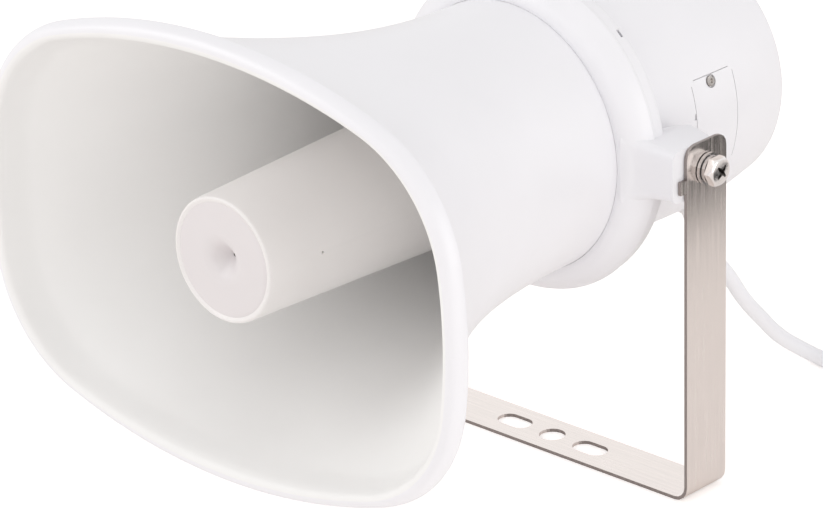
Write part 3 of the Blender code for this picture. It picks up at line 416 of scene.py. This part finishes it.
def mouth_radius(angle):
    """Distance from the axis to the mouth's edge, a rectangle of tangent arcs."""
    a, b = MOUTH_HALF_WIDTH, MOUTH_HALF_HEIGHT
    z1, d1 = b - TOP_ARC, TOP_ARC - CORNER_ARC
    x2, d2 = a - SIDE_ARC, SIDE_ARC - CORNER_ARC
    span = math.hypot(x2, z1)
    k = (d1 ** 2 - d2 ** 2 + span ** 2) / (2 * span)
    h = math.sqrt(max(d1 ** 2 - k ** 2, 0.0))
    ux, uz = x2 / span, -z1 / span
    ends = [(k * ux - h * uz, z1 + k * uz + h * ux), (k * ux + h * uz, z1 + k * uz - h * ux)]
    cx, cz = max(ends, key=sum)
    c, s = abs(math.cos(angle)), abs(math.sin(angle))
    turn = math.atan2(s, c)
    top_end = math.atan2(cz + CORNER_ARC * (cz - z1) / d1, cx + CORNER_ARC * cx / d1)
    side_end = math.atan2(cz + CORNER_ARC * cz / d2, cx + CORNER_ARC * (cx - x2) / d2)
    x0, z0, radius = cx, cz, CORNER_ARC
    if turn > top_end:
        x0, z0, radius = 0.0, z1, TOP_ARC
    elif turn < side_end:
        x0, z0, radius = x2, 0.0, SIDE_ARC
    reach = c * x0 + s * z0
    return reach + math.sqrt(max(reach * reach - (x0 * x0 + z0 * z0 - radius * radius), 0.0))


mean_mouth = sum(mouth_radius(math.tau * i / 360) for i in range(360)) / 360
print("mean mouth radius", round(mean_mouth, 4))

# %% Section of the bell
MOUTH_FRONT = -0.176
NECK_RADIUS, NECK_FRONT, NECK_END = 0.0515, -0.022, -0.0093
LIP_DEPTH, LIP_FLARE, BELL_WALL = 0.010, 0.006, 0.0025
ROUND_POWER, CORNER_POWER = 2.3, 3.5
FLARE_STEPS = 48
SLOPE_STEP = 0.01
INSIDE_FROM = 0.74
body_length = NECK_FRONT - (MOUTH_FRONT + LIP_DEPTH)
lip = [(-0.0042, 0.0090), (-0.0022, 0.0085), (-0.0006, 0.0073),
       (0.0, 0.0056), (-0.0006, 0.0028), (-0.0020, 0.0008), (-0.0043, 0.0), (-0.0063, 0.0009),
       (-0.0076, 0.0036)]


def body_radius(t, rim):
    """Outer radius of the flare, round at the neck and wide at the lip."""
    round_part = (mean_mouth - LIP_FLARE - NECK_RADIUS) * t ** ROUND_POWER
    return NECK_RADIUS + round_part + (rim - mean_mouth) * t ** CORNER_POWER


def flowing(points, parts=4):
    """A few points of a section, refined to a smooth line through them."""
    corners = [Vector(p) for p in points]
    ends = [corners[0] * 2 - corners[1]] + corners + [corners[-1] * 2 - corners[-2]]
    line = []
    for a, b, c, d in zip(ends, ends[1:], ends[2:], ends[3:]):
        for i in range(parts):
            t = i / parts
            line.append(0.5 * (2 * b + (c - a) * t + (2 * a - 5 * b + 4 * c - d) * t * t
                               + (3 * b - 3 * c + d - a) * t ** 3))
    return [tuple(p) for p in line] + [tuple(corners[-1])]


def bell_section(rim):
    """Section at one angle: neck outside, flare, lip, flare inside, neck inside."""
    flare = [i / FLARE_STEPS for i in range(FLARE_STEPS + 1)]
    outer = [(NECK_RADIUS, NECK_END)]
    outer += [(body_radius(t, rim), NECK_FRONT - body_length * t) for t in flare]
    edge = flowing([(rim + r, MOUTH_FRONT + y) for r, y in lip])
    inner = []
    for t in reversed(flare):
        rise = body_radius(t, rim) - body_radius(max(t - SLOPE_STEP, 0.0), rim)
        slope = rise / (body_length * SLOPE_STEP)
        wall = BELL_WALL * math.sqrt(1.0 + slope * slope)
        inner.append((body_radius(t, rim) - wall, NECK_FRONT - body_length * t))
    inner.append((NECK_RADIUS - BELL_WALL, NECK_END))
    return outer, edge, inner


print(sum(len(part) for part in bell_section(0.1)), "points in a section")


# %% Loft the bell
def loft_bell(around=320):
    """Joins the sections; from the inner side of the lip on, the second material is used."""
    bm = bmesh.new()
    rings = []
    for i in range(around):
        angle = math.tau * i / around
        c, s = math.cos(angle), math.sin(angle)
        outer, edge, inner = bell_section(mouth_radius(angle))
        crest = len(outer) + round(len(edge) * INSIDE_FROM)
        rings.append([bm.verts.new((r * c, y, PIVOT.z + r * s)) for r, y in outer + edge + inner])
    for i in range(around):
        here, there = rings[i], rings[(i + 1) % around]
        for j in range(len(here)):
            k = (j + 1) % len(here)
            face = bm.faces.new((here[j], here[k], there[k], there[j]))
            face.smooth = True
            face.material_index = 1 if j >= crest else 0
    bmesh.ops.recalc_face_normals(bm, faces=bm.faces)
    mesh = bpy.data.meshes.new("horn_bell")
    bm.to_mesh(mesh)
    bm.free()
    mesh.materials.append(OUTSIDE_WHITE)
    mesh.materials.append(INSIDE_WHITE)
    obj = bpy.data.objects.new("horn_bell", mesh)
    bpy.context.scene.collection.objects.link(obj)
    return obj


bell = loft_bell()
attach(bell, "horn")
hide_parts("bell")
print("bell has", len(bell.data.polygons), "faces")

# %% [markdown]
# ## Tools for the turned mouldings
#
# The collar, the drum, its side cover and the cup are round mouldings that the solid model holds
# with flat facets. A finer turned skin shows them as smooth as they are. Each starts as a turned
# section and gets its holes, posts and lugs by exact cuts and joins, as in the solid model, and
# is then baked to one mesh whose true corners stay sharp.

# %% Turned, boxed and rod shapes
AROUND = 160


def plain_object(name, bm):
    """Object of a bmesh."""
    bmesh.ops.recalc_face_normals(bm, faces=bm.faces)
    mesh = bpy.data.meshes.new(name)
    bm.to_mesh(mesh)
    bm.free()
    obj = bpy.data.objects.new(name, mesh)
    bpy.context.scene.collection.objects.link(obj)
    return obj


def turned(name, section, around=AROUND, matrix=None):
    """Turns a closed section of (radius, place) round the drum's axis, or a matrix's Y axis."""
    bm = bmesh.new()
    rings = []
    for radius, y in section:
        count = around if radius > 0 else 1
        angles = [math.tau * i / around for i in range(count)]
        rings.append([bm.verts.new((radius * math.cos(a), y, radius * math.sin(a)))
                      for a in angles])
    for here, there in zip(rings, rings[1:] + rings[:1]):
        for i in range(around):
            k = (i + 1) % around
            corners = [here[i % len(here)], here[k % len(here)],
                       there[k % len(there)], there[i % len(there)]]
            corners = list(dict.fromkeys(corners))
            if len(corners) > 2:
                bm.faces.new(corners)
    bm.transform(matrix or Matrix.Translation(PIVOT))
    return plain_object(name, bm)


def boxed(name, low, high, turn=0.0):
    """Box between two corners given from the pivot, turned about the drum's axis."""
    middle = [(a + b) / 2 for a, b in zip(low, high)]
    size = [b - a for a, b in zip(low, high)]
    bm = bmesh.new()
    matrix = Matrix.Translation(PIVOT) @ Matrix.Rotation(math.radians(-turn), 4, "Y")
    bmesh.ops.create_cube(bm, size=1.0, matrix=matrix @ Matrix.Translation(middle)
                          @ Matrix.Diagonal((*size, 1)))
    return plain_object(name, bm)


def rods(name, circle, first, radius, start, end, around=32):
    """Four plain rods along the drum, spread on a circle."""
    bm = bmesh.new()
    for i in range(4):
        angle = math.radians(first + 90.0 * i)
        centre = Vector((circle * math.cos(angle), (start + end) / 2, circle * math.sin(angle)))
        matrix = Matrix.Translation(PIVOT + centre) @ Matrix.Rotation(math.radians(90), 4, "X")
        bmesh.ops.create_cone(bm, cap_ends=True, segments=around, radius1=radius,
                              radius2=radius, depth=end - start, matrix=matrix)
    return plain_object(name, bm)


print("shapes use", AROUND, "steps round")


# %% Cutting, joining and baking
def carve(target, tool, operation="DIFFERENCE"):
    """Cuts a tool out of a shape, or joins or intersects the two, and drops the tool."""
    mod = target.modifiers.new(tool.name, "BOOLEAN")
    mod.operation = operation
    mod.solver = "EXACT"
    mod.object = tool
    seen = bpy.context.evaluated_depsgraph_get()
    mesh = bpy.data.meshes.new_from_object(target.evaluated_get(seen))
    target.modifiers.clear()
    target.data = mesh
    bpy.data.objects.remove(tool, do_unlink=True)
    return target


def moulding(obj, node, mats, corner=32.0):
    """Smooth shading with sharp corners, then the shape stands for its solid."""
    for face in obj.data.polygons:
        face.use_smooth = True
    obj.data.set_sharp_from_angle(angle=math.radians(corner))
    obj.data.materials.clear()
    for mat in mats:
        obj.data.materials.append(mat)
    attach(obj, "horn")
    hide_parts(node)
    print(node, "has", len(obj.data.polygons), "faces")
    return obj


# %% [markdown]
# ## Collar
#
# On the real horn this ring is the backbone: the bell is stuck into its front, the drum is
# screwed to its back and the bracket hangs on its two lugs. It is one moulding, so the lugs
# spread into the ring with a soft foot instead of meeting it at a hard line.

# %% Ring of the collar
BAFFLE_FRONT, BAFFLE_REAR = -0.009, -0.0045
SPIGOT, SPIGOT_BORE, SPIGOT_END = 0.0462, 0.0447, 0.004
THROAT_BORE = 0.009
POST_CIRCLE, DRIVER_CIRCLE = 0.039, 0.031
SCREW_BORE, BOSS_RADIUS, POST_RADIUS, WELL_RADIUS = 0.0018, 0.0046, 0.0060, 0.0042
front = flowing([(0.05162, -0.0220), (0.0535, -0.0218), (0.0567, -0.0200), (0.0599, -0.0160),
                 (0.0613, -0.0130), (0.0615, -0.0118), (0.0612, -0.0111)])
band = [(0.0604, -0.0110), (0.0604, -0.0107), (0.0607, -0.0105)]
band += flowing([(0.0607, -0.0072), (0.0603, -0.0059), (0.0595, -0.0050), (0.0583, -0.0045)])
collar = turned("horn_collar", front + band + [
    (SPIGOT, BAFFLE_REAR), (SPIGOT, SPIGOT_END), (SPIGOT_BORE, SPIGOT_END),
    (SPIGOT_BORE, BAFFLE_REAR), (THROAT_BORE, BAFFLE_REAR), (THROAT_BORE, BAFFLE_FRONT),
    (0.0518, BAFFLE_FRONT)])
print("ring turned")

# %% Lugs of the collar
LUG_FACE, LUG_FOOT = 0.0731, 0.0530
LUG_FRONT, LUG_BACK, LUG_HALF = -0.017, 0.0115, 0.010
LUG_EDGE, LUG_FILLET, LUG_SECTIONS = 0.0035, 0.005, 12


def lug_outline(share, corner_steps=8):
    """Rounded rectangle of a lug; share runs from its face at 0 to its spread foot at 1."""
    spread = LUG_FILLET * share ** 3
    narrow = 0.005 * max(1 - share / 0.7, 0) ** 1.3 + 0.0107 * max(share / 0.3 - 7 / 3, 0) ** 1.2
    y0, y1 = LUG_FRONT - spread, LUG_BACK - narrow
    back, front = LUG_HALF, LUG_HALF + 0.8 * spread
    points = []
    for cy, cz, first in ((y1, back, 0), (y0, front, 90), (y0, -front, 180), (y1, -back, 270)):
        my = cy - math.copysign(LUG_EDGE, cy - (y0 + y1) / 2)
        mz = cz - math.copysign(LUG_EDGE, cz)
        for step in range(corner_steps + 1):
            a = math.radians(first + 90 * step / corner_steps)
            points.append((my + LUG_EDGE * math.cos(a), mz + LUG_EDGE * math.sin(a)))
    return points


def make_lug(side):
    """Lofts one lug from its face to its foot inside the ring."""
    bm = bmesh.new()
    rings = []
    for i in range(LUG_SECTIONS + 1):
        share = i / LUG_SECTIONS
        x = side * (LUG_FACE + (LUG_FOOT - LUG_FACE) * share)
        rings.append([bm.verts.new((x, y, PIVOT.z + z)) for y, z in lug_outline(share)])
    for here, there in zip(rings, rings[1:]):
        for j in range(len(here)):
            k = (j + 1) % len(here)
            bm.faces.new((here[j], here[k], there[k], there[j]))
    bm.faces.new(rings[0])
    bm.faces.new(rings[-1])
    return plain_object("lug", bm)


for side in (1, -1):
    carve(collar, make_lug(side), "UNION")
print("lugs joined")

# %% Bosses and bores of the collar
carve(collar, rods("bosses", POST_CIRCLE, 45, BOSS_RADIUS, BAFFLE_REAR - 0.001, 0.0117),
      "UNION")
carve(collar, rods("boss_bores", POST_CIRCLE, 45, SCREW_BORE, -0.003, 0.0197))
carve(collar, rods("driver_bores", DRIVER_CIRCLE, 0, SCREW_BORE, -0.0075, 0.020))
for side in (1, -1):
    tilt = Matrix.Translation(PIVOT) @ Matrix.Rotation(math.radians(-90 * side), 4, "Z")
    carve(collar, turned("lug_bore", [
        (0.0, 0.0560), (0.0033, 0.0560), (0.0033, 0.0608), (0.0049, 0.0608), (0.0049, 0.080),
        (0.0, 0.080)], 48, tilt))
carve(collar, boxed("latch_slot", (0.0545, -0.0079, -0.0016), (0.0612, -0.0046, 0.0016), 48))
moulding(collar, "collar", [OUTSIDE_WHITE])

# %% [markdown]
# ## Drum and side cover
#
# The drum holds the driver and the line transformer. Its wall bulges a little, so that it draws
# out of its tool, and the side cover lies in a shallow seat that follows that bulge. Cutting the
# seat with the same curve keeps the seam even all round.

# %% Drum
DRUM_REAR, DRUM_RADIUS = 0.0790, 0.0509
COVER_FROM, COVER_TO, COVER_HALF = 0.024, 0.047, 0.0187
wall = flowing([(0.0492, -0.0042), (0.0496, 0.0040), (0.0505, 0.0220), (0.0509, 0.0430),
                (0.0499, 0.0600), (0.0474, 0.0768)], 8)
rear_edge = flowing([(0.0474, 0.0768), (0.0468, 0.0778), (0.0460, 0.0784),
                     (0.0450, 0.0788),
                     (0.0440, DRUM_REAR)], 2)
drum = turned("horn_drum", [(0.0480, -0.0042)] + wall[:-1] + rear_edge + [
    (0.0, DRUM_REAR), (0.0, 0.0764), (0.0441, 0.0764), (0.0473, 0.0600), (0.0483, 0.0430),
    (0.0479, 0.0220), (0.0471, 0.0040), (0.0466, -0.0010), (0.0480, -0.0010)])
carve(drum, rods("posts", POST_CIRCLE, 45, POST_RADIUS, 0.0120, DRUM_REAR - 0.001),
      "UNION")
carve(drum, rods("post_bores", POST_CIRCLE, 45, SCREW_BORE, 0.0107, 0.0297))
carve(drum, rods("post_wells", POST_CIRCLE, 45, WELL_RADIUS, 0.0220, DRUM_REAR + 0.002, 48))
print("drum turned")


# %% Seat of the side cover
BAND_SPARE, FRONT_SPARE = 0.004, 1.1


def cover_band(name, lift, depth):
    """Ring that follows the drum's bulge, a little longer than the cover."""
    outside = [(r + lift, y) for r, y in wall
               if COVER_FROM - BAND_SPARE < y < COVER_TO + BAND_SPARE]
    inner = DRUM_RADIUS - depth
    return turned(name, [(inner, outside[0][1])] + outside + [(inner, outside[-1][1])])


def cover_limit(spare, corner=0.0018):
    """Rounded block that cuts the cover's outline out of the band; its front gap is wider."""
    x0, x1 = 0.025, 0.100
    y0, y1 = COVER_FROM + FRONT_SPARE * spare, COVER_TO - spare
    half = COVER_HALF - spare
    centre = ((x0 + x1) / 2, (y0 + y1) / 2, PIVOT.z)
    bm = bmesh.new()
    bmesh.ops.create_cube(bm, size=1.0, matrix=Matrix.Translation(centre)
                          @ Matrix.Diagonal((x1 - x0, y1 - y0, 2 * half, 1)))
    long_edges = [e for e in bm.edges if abs(e.verts[0].co.x - e.verts[1].co.x) > 0.01]
    bmesh.ops.bevel(bm, geom=long_edges, offset=corner - spare, segments=8, affect="EDGES")
    return plain_object("cover_limit", bm)


def on_drum(name, section, angle, y, around=40):
    """Round cutter that points out of the drum at an angle."""
    matrix = Matrix.Translation(PIVOT + Vector((0, y, 0)))
    matrix = matrix @ Matrix.Rotation(math.radians(-angle), 4, "Y")
    return turned(name, section, around, matrix @ Matrix.Rotation(math.radians(-90), 4, "Z"))


seat = cover_band("seat", 0.003, 0.0015)
carve(seat, cover_limit(0.0), "INTERSECT")
carve(drum, seat)
carve(drum, boxed("notch", (0.0497, 0.0227, 0.0046), (0.0529, 0.0242, 0.0070)))
carve(drum, on_drum("gland_hole", [(0.0, 0.040), (0.0050, 0.040), (0.0050, 0.056), (0.0, 0.056)],
                    math.degrees(GLAND_ANGLE), GLAND_Y))
COVER_SCREW_Y = COVER_FROM + 0.0105
SCREW_ANGLE = math.degrees(math.asin((COVER_HALF - 0.0025) / DRUM_RADIUS))
for angle in (SCREW_ANGLE, -SCREW_ANGLE):
    carve(drum, on_drum("pilot", [(0.0, 0.0461), (0.0013, 0.0461), (0.0013, 0.054), (0.0, 0.054)],
                        angle, COVER_SCREW_Y))
moulding(drum, "rear_housing", [OUTSIDE_WHITE])

# %% Side cover
SEAM = 0.00024
SEAM_SHADE_FACING = 0.4
cover = cover_band("horn_side_cover", 0.0, 0.0012)
carve(cover, cover_limit(SEAM), "INTERSECT")
for angle in (SCREW_ANGLE, -SCREW_ANGLE):
    carve(cover, on_drum("hole", [(0.0, 0.045), (0.0015, 0.045), (0.0015, 0.0500),
                                  (0.0025, 0.0500), (0.0028, 0.054), (0.0, 0.054)],
                         angle, COVER_SCREW_Y))
moulding(cover, "side_cover", [OUTSIDE_WHITE, PAINTED_SEAM_SHADE])
# Painted shade: the cover's walls that face across the seam get the grey, in place of the shade
# in the gap.
for face in cover.data.polygons:
    out = face.center - PIVOT
    if face.normal.dot(Vector((out.x, 0.0, out.z)).normalized()) < SEAM_SHADE_FACING:
        face.material_index = 1
print("seam", SEAM, "m wide")

# %% [markdown]
# ## Reflector
#
# The cup in the mouth turns the sound round once more. Its closed end shows a raised bead, a
# smooth conical dimple and a tiny pit where the mould was fed. Four thin fins hold it in the
# neck, and an ejector pin has left a small mark on its side. It is turned and joined in the same
# way.

# %% Cup with its fins
CUP = -0.170
FACE_RADIUS, PIT_RADIUS = 0.0211, 0.0008
FIN_HALF = 0.00125
disc = flowing([(0.0004, 0.0074), (0.0008, 0.0066), (0.0022, 0.0051), (0.0037, 0.0035),
                (0.0052, 0.0020), (0.0064, 0.0011), (0.0080, 0.0005), (0.0100, 0.0002),
                (0.0160, 0.0003), (0.0198, 0.0004), (0.0209, 0.0006)], 5)
bead = flowing([(0.0214, 0.0003), (0.0221, 0.0), (0.0228, 0.0004), (0.0231, 0.0016)], 4)
cup = turned("horn_cup", [(0.0, CUP + 0.0077)] + [(r, CUP + y) for r, y in disc + bead] + [
    (0.0280, -0.030), (0.0260, -0.030), (0.0211, CUP + 0.0030), (0.0080, CUP + 0.0030),
    (0.0030, CUP + 0.0066), (0.0, CUP + 0.0094)])
for number in range(4):
    carve(cup, boxed("fin", (0.0266, -0.042, -FIN_HALF), (0.0487, -0.0093, FIN_HALF),
                     45.0 + 90.0 * number), "UNION")
carve(cup, on_drum("pin_mark", [(0.0, 0.0222), (0.0004, 0.0222), (0.0006, 0.0260), (0.0, 0.0260)],
                   3.0, -0.145, 12))
moulding(cup, "reflector", [CUP_WHITE, CUP_FACE, PAINTED_RECESS_SHADE])
# Painted shade: the faces of the tiny pit get the near-black material, in place of the shade
# inside it.
for face in cup.data.polygons:
    off = face.center - PIVOT
    reach = math.hypot(off.x, off.z)
    if off.y < CUP + 0.0070 and face.normal.y < -0.2 and reach < FACE_RADIUS:
        face.material_index = 1
    if off.y < CUP + 0.0078 and reach < PIT_RADIUS:
        face.material_index = 2

# %% [markdown]
# ## Bolts
#
# Cold heading leaves a hexagon with a rounded crown, and the punch for the cross recess pushes
# its mouth a little wider than its bottom. Turning the crown and cutting it out of a hexagon
# gives the curved edges that catch the light on the real bolt.

# %% Bolt with its cross recess
HEAD, HEAD_END, ACROSS = 0.0781, 0.0819, 0.010
CROSS_REACH, ARM_HALF, VALLEY = 0.0032, 0.00040, 0.00075


def cross_cutter(side, deep=0.0021, turn=43.0):
    """Four-armed recess, long at the face and short at its bottom."""
    bm = bmesh.new()
    rings = []
    for x, scale in ((HEAD_END + 0.001, 1.3), (HEAD_END - deep, 0.42)):
        ring = []
        for arm in range(4):
            a = math.radians(turn + 90 * arm)
            d, p = Vector((0, math.cos(a), math.sin(a))), Vector((0, -math.sin(a), math.cos(a)))
            ring += [d * CROSS_REACH - p * ARM_HALF, d * CROSS_REACH + p * ARM_HALF,
                     (d + p) * VALLEY]
        rings.append([bm.verts.new(PIVOT + Vector((side * x, 0, 0)) + v * scale) for v in ring])
    for j in range(12):
        k = (j + 1) % 12
        bm.faces.new((rings[0][j], rings[0][k], rings[1][k], rings[1][j]))
    bm.faces.new(rings[0])
    bm.faces.new(rings[1])
    return plain_object("cross", bm)


def make_bolt(side, node):
    """Shank and crowned hexagon head with its recess."""
    along = Matrix.Translation(PIVOT) @ Matrix.Rotation(math.radians(-90 * side), 4, "Z")
    bolt = turned("hex_" + node, [(0.0, 0.0571), (0.0024, 0.0571), (0.0029, 0.0576),
                                  (0.0029, HEAD + 0.001), (0.0, HEAD + 0.001)], 32, along)
    bm = bmesh.new()
    matrix = Matrix.Translation(PIVOT + Vector((side * (HEAD + HEAD_END) / 2, 0, 0)))
    matrix = matrix @ Matrix.Rotation(math.radians(90), 4, "Y")
    bmesh.ops.create_cone(bm, cap_ends=True, segments=6, radius1=ACROSS / math.sqrt(3),
                          radius2=ACROSS / math.sqrt(3), depth=HEAD_END - HEAD, matrix=matrix)
    dome = [(0.0065, 0.00240), (0.0058, 0.00155), (0.0052, 0.00095), (0.0047, 0.00060),
            (0.0042, 0.00044), (0.0032, 0.00026), (0.0018, 0.00008), (0.0006, 0.00001)]
    crown = flowing([(radius, HEAD_END - drop) for radius, drop in dome])
    blank = turned("crown", [(0.0, HEAD - 0.001), (0.0072, HEAD - 0.001),
                             (0.0072, HEAD_END - 0.0030)] + crown + [(0.0, HEAD_END)], 64, along)
    head = carve(plain_object("head", bm), blank, "INTERSECT")
    carve(bolt, head, "UNION")
    carve(bolt, cross_cutter(side))
    moulding(bolt, node, [BOLT_BRIGHT, PAINTED_RECESS_SHADE], 24.0)
    # Painted shade: the faces of the cross recess get the near-black material, in place of the
    # shade inside it.
    for face in bolt.data.polygons:
        off = face.center - PIVOT
        inward = abs(face.normal.x) < 0.9 or abs(off.x) < HEAD_END - 0.001
        near = Vector((off.y, off.z)).length < CROSS_REACH + 0.0004
        if near and HEAD + 0.001 < abs(off.x) and inward:
            face.material_index = 1


make_bolt(1, "bolt_right")
make_bolt(-1, "bolt_left")

# %% [markdown]
# ## Dressing the solids
#
# The other pieces keep their solids, because those are already right. Each only changes the
# material in its slot.

# %% Materials by piece
finish_of = {
    "cable_gland": GLAND_WHITE, "bracket": STRIP_STAINLESS,
    "throat_tube": INNER_BLACK, "driver_front": INNER_BLACK, "diaphragm_ring": INNER_BLACK,
    "terminal_block": INNER_BLACK, "housing_seal": INNER_BLACK, "driver_gasket": INNER_BLACK,
    "magnet": INNER_BLACK, "diaphragm": COPPER_STRANDS, "voice_coil": COPPER_STRANDS,
    "top_plate": DRIVER_IRON, "yoke": DRIVER_IRON, "transformer_core": DRIVER_IRON,
    "transformer_winding": COPPER_STRANDS,
    "cable_core_inner": COPPER_STRANDS, "cable_core_outer": COPPER_STRANDS,
}
for name in nodes:
    if "washer" in name:
        finish_of[name] = WASHER_BRIGHT
    elif name.startswith("insert"):
        finish_of[name] = INSERT_BRASS
    elif name.startswith("side_cover_screw"):
        finish_of[name] = SCREW_DARK
    elif "_screw" in name:
        finish_of[name] = SCREW_ZINC
for name, mat in finish_of.items():
    for slot in nodes[name].material_slots:
        slot.material = mat
lead.data.materials.append(SHEATH_WHITE)
print("dressed", len(finish_of), "solids")

# %% [markdown]
# ## Floor, light and world
#
# The picture was taken on white. A floor that is simply lit white would need so much light that
# the white plastic burns out. So the lamps stay soft, and the floor and the world show white
# only to the camera and in reflections, while the object is lit at a plain level. A black card
# beside the horn, seen only in reflections, gives the head of the bracket's arm its dark tone.

# %% World
world = bpy.data.worlds.new("studio")
bpy.context.scene.world = world
world.use_nodes = True
tree = world.node_tree
tree.nodes.clear()
ray = add(tree, "LightPath", {})
either = add(tree, "Math", {0: ray["Is Camera Ray"], 1: ray["Is Transmission Ray"]},
             operation="MAXIMUM")
third = add(tree, "Math", {0: either["Value"], 1: ray["Is Glossy Ray"]}, operation="MAXIMUM")
lit = add(tree, "Background", {"Color": (1.0, 0.985, 0.98, 1), "Strength": 0.72})
seen = add(tree, "Background", {"Color": (1, 1, 1, 1), "Strength": 1.0})
mix = add(tree, "MixShader", {"Fac": third["Value"], 1: lit["Background"],
                              2: seen["Background"]})
add(tree, "OutputWorld", {"Surface": mix["Shader"]})
bpy.context.scene.view_settings.view_transform = "Standard"
print("world ready")


# %% Floor
def make_floor():
    """Pale plane that shows white to the camera, lifts the underside and keeps a shadow."""
    mat, tree, shader = start_material("floor_white")
    shader.inputs["Base Color"].default_value = (0.92, 0.89, 0.87, 1)
    shader.inputs["Roughness"].default_value = 0.9
    shader.inputs["Emission Color"].default_value = (1, 1, 1, 1)
    ray = add(tree, "LightPath", {})
    glow = add(tree, "Math", {0: ray["Is Camera Ray"], 1: 0.35}, operation="MULTIPLY")
    spread = add(tree, "Math", {0: ray["Is Diffuse Ray"], 1: 0.15, 2: glow["Value"]},
                 operation="MULTIPLY_ADD")
    join(tree, spread["Value"], shader.inputs["Emission Strength"])
    mesh = bpy.data.meshes.new("floor")
    half = 6.0
    mesh.from_pydata([(-half, -half, 0), (half, -half, 0), (half, half, 0), (-half, half, 0)],
                     [], [(0, 1, 2, 3)])
    mesh.materials.append(mat)
    obj = bpy.data.objects.new("floor", mesh)
    bpy.context.scene.collection.objects.link(obj)
    return obj


floor = make_floor()
print("floor ready")


# %% Lamps
def soft_lamp(name, place, target, size, power):
    """Square area lamp aimed at a point."""
    data = bpy.data.lights.new(name, "AREA")
    data.shape = "SQUARE"
    data.size = size
    data.energy = power
    lamp = bpy.data.objects.new(name, data)
    aim = Vector(target) - Vector(place)
    lamp.rotation_euler = aim.to_track_quat("-Z", "Y").to_euler()
    lamp.location = place
    bpy.context.scene.collection.objects.link(lamp)
    return lamp


middle = (0.0, -0.05, 0.13)
soft_lamp("key_left", (-1.3, -1.3, 1.3), middle, 1.4, 11.0)
soft_lamp("front_soft", (0.6, -1.6, 1.1), middle, 1.6, 2.5)
soft_lamp("top_soft", (0.2, 0.2, 1.9), middle, 1.8, 3.0)
soft_lamp("fill_right", (1.6, 0.0, 0.28), middle, 1.2, 7.5)
print("four lamps ready")


# %% A dark card for the steel
def dark_card():
    """Black card on the floor, seen only in reflections, that darkens the head of the arm."""
    mesh = bpy.data.meshes.new("dark_card")
    x0, x1, y0, y1, z = 0.246, 0.520, 0.080, 0.500, 0.001
    mesh.from_pydata([(x0, y0, z), (x1, y0, z), (x1, y1, z), (x0, y1, z)], [], [(0, 1, 2, 3)])
    mat, tree, shader = start_material("card_black")
    shader.inputs["Base Color"].default_value = (0.01, 0.01, 0.01, 1)
    shader.inputs["Roughness"].default_value = 1.0
    mesh.materials.append(mat)
    obj = bpy.data.objects.new("dark_card", mesh)
    bpy.context.scene.collection.objects.link(obj)
    for ray in ("camera", "diffuse", "shadow", "transmission"):
        setattr(obj, "visible_" + ray, False)
    return obj


dark_card()
print("card ready")
